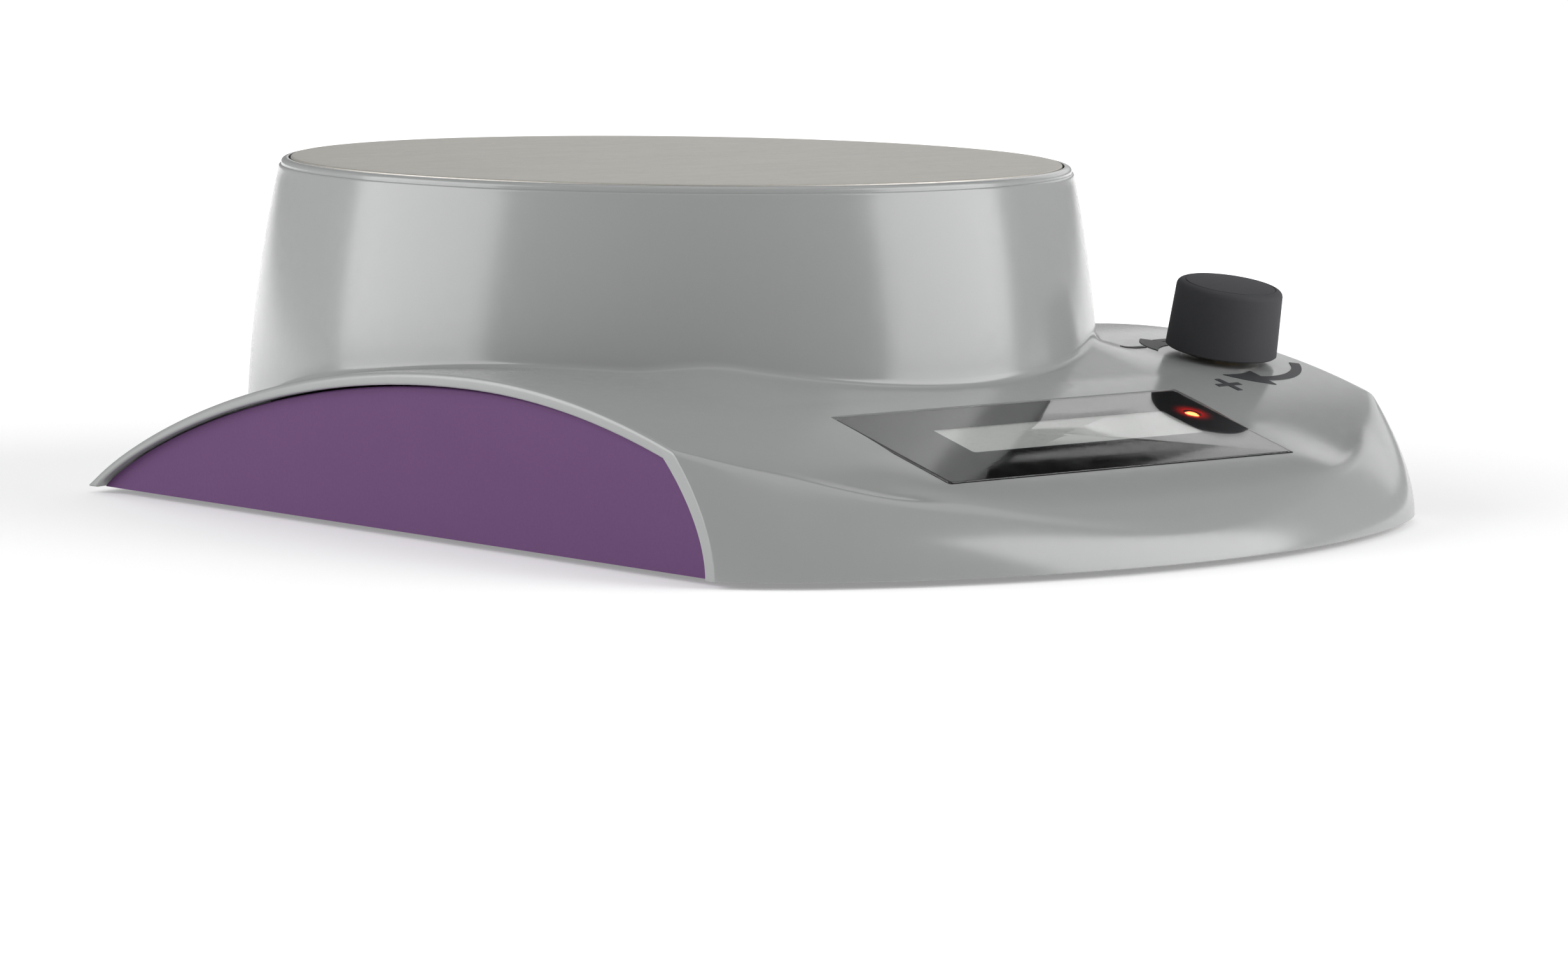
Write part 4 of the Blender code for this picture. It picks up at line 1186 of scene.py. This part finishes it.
@dataclass
class Studio:
    """Floor, lights and camera."""

    camera_at: tuple[float, float, float] = (-662.51, -720.64, 115.23)
    yaw: float = 137.36
    pitch: float = 6.45
    roll: float = 0.77
    lens: float = 146.10
    sensor: float = 36.0
    flag_azimuth: float = 38.0
    flag_tilt: float = 28.2         # how high its lower edge stands, in degrees
    flag_away: float = 2000.0       # its distance on the floor, in mm
    near_glow: float = 0.26
    far_glow: float = 0.76

    def camera(self) -> None:
        """A long lens about a metre away, a little above the object."""
        yaw, pitch, roll = (math.radians(a) for a in (self.yaw, self.pitch, self.roll))
        ahead = Vector((math.cos(pitch) * math.sin(yaw), -math.cos(pitch) * math.cos(yaw),
                        -math.sin(pitch)))
        right = Vector((-math.cos(yaw), -math.sin(yaw), 0))
        up = right.cross(ahead)
        across = math.cos(roll) * right + math.sin(roll) * up
        upward = -math.sin(roll) * right + math.cos(roll) * up
        data = bpy.data.cameras.new("camera")
        data.lens = self.lens
        data.sensor_width = self.sensor
        data.clip_end = 50
        made = bpy.data.objects.new("camera", data)
        turn = Matrix((across, upward, -ahead)).transposed().to_4x4()
        made.matrix_world = Matrix.Translation(Vector(self.camera_at) * MM) @ turn
        bpy.context.scene.collection.objects.link(made)
        bpy.context.scene.camera = made

    def softbox(self, name: str, angle: float, height: float, distance: float,
                size: tuple[float, float], radiance: float) -> None:
        """A rectangular light that faces the object.

        Args:
            name: The light's name.
            angle: Degrees to the camera's right, seen from the object.
            height: Height of its middle, in metres.
            distance: Distance on the floor, in metres.
            size: Width and height, in metres.
            radiance: How bright its face is; the room is about 1.
        """
        away = math.atan2(self.camera_at[1], self.camera_at[0]) + math.radians(angle)
        place = Vector((distance * math.cos(away), distance * math.sin(away), height))
        data = bpy.data.lights.new(name, "AREA")
        data.shape = "RECTANGLE"
        data.size, data.size_y = size
        data.energy = radiance * math.pi * size[0] * size[1]
        made = bpy.data.objects.new(name, data)
        made.matrix_world = Matrix.Translation(place) @ (-place).to_track_quat("-Z", "Y").to_matrix().to_4x4()
        made.visible_camera = False
        bpy.context.scene.collection.objects.link(made)

    def cover(self, piece: bpy.types.Object, name: str, colour: str, roughness: float) -> bpy.types.Node:
        """Gives a staged piece one plain material.

        Returns:
            The material's shader.
        """
        material = bpy.data.materials.new(name)
        material.use_nodes = True
        shader = material.node_tree.nodes["Principled BSDF"]
        shader.inputs["Base Color"].default_value = linear(colour)
        shader.inputs["Roughness"].default_value = roughness
        piece.data.materials.append(material)
        return shader

    def flag(self) -> None:
        """A black board high behind the object, for the panel's front part to mirror."""
        azimuth, tilt = math.radians(self.flag_azimuth), math.radians(self.flag_tilt)
        middle = self.flag_away * np.array([math.cos(azimuth), math.sin(azimuth), math.tan(tilt)])
        across = np.array([-math.sin(azimuth), math.cos(azimuth), 0.0])
        up = np.array([0, 0, 1.0])
        ends = np.array([[-1, 0], [1, 0], [1, 1], [-1, 1]])
        loop = middle + ends[:, :1] * 700 * across + ends[:, 1:] * 900 * up
        back = loop + 10 * np.array([math.cos(azimuth), math.sin(azimuth), 0])
        made = mesh_object("flag", [closed_parts(np.array([loop, back]))])
        self.cover(made, "black cloth", "#050505", 1.0)
        made.visible_camera = False

    def floor(self) -> None:
        """A wide pale floor, which glows a little away from the object, so that it stays white."""
        rows = turned([(100, 0), (1000, 0), (6000, 0), (6000, -1), (100, -1)], steps=96)
        made = mesh_object("floor", [closed_parts(rows)])
        shader = self.cover(made, "matt white floor", "#F4F4F4", 0.9)
        tree = shader.id_data
        place = add(tree, "ShaderNodeTexCoord").outputs["Object"]
        far = add(tree, "ShaderNodeVectorMath", {"operation": "LENGTH"}, {0: place})
        rise = add(tree, "ShaderNodeMapRange", {"interpolation_type": "SMOOTHSTEP", "From Min": 0.12,
                                                "From Max": 0.6, "To Min": self.near_glow,
                                                "To Max": self.far_glow}, {"Value": far.outputs["Value"]})
        tree.links.new(rise.outputs[0], shader.inputs["Emission Strength"])
        shader.inputs["Emission Color"].default_value = linear("#FFFFFF")

    def build(self) -> None:
        """Sets up the whole studio."""
        self.camera()
        self.floor()
        self.flag()
        self.softbox("right_softbox", 82, 0.55, 1.3, (1.2, 1.1), 3.5)
        self.softbox("left_softbox", -76, 0.55, 1.3, (1.32, 1.1), 3.1)
        self.softbox("back_panel", 164, 0.63, 2.0, (1.8, 0.8), 0.8)
        self.softbox("overhead", 150, 1.8, 0.5, (1.6, 1.6), 0.7)
        world = bpy.data.worlds.new("studio")
        world.use_nodes = True
        back = world.node_tree.nodes["Background"]
        back.inputs["Color"].default_value = linear("#F4F4F4")
        back.inputs["Strength"].default_value = 0.29
        bpy.context.scene.world = world
        bpy.context.scene.view_settings.view_transform = "Standard"


def main() -> None:
    """Builds every piece in order."""
    logging.basicConfig(level=logging.INFO, format="%(name)s: %(message)s")
    form = BodyForm()
    plane, axis = label_plane(), knob_axis()
    Studio().build()
    Housing(form, plane, axis).build()
    SidePanels(form).build()
    StirringPlate(form).build()
    DisplayPanel(plane).build()
    SpeedKnob(axis, form).build()
    Underside().build()
    Windings().build()
    for finish, nodes in CARRIED_OVER.items():
        for node in nodes:
            dress(frame["nodes"][node], finish)


if __name__ == "__main__":
    main()
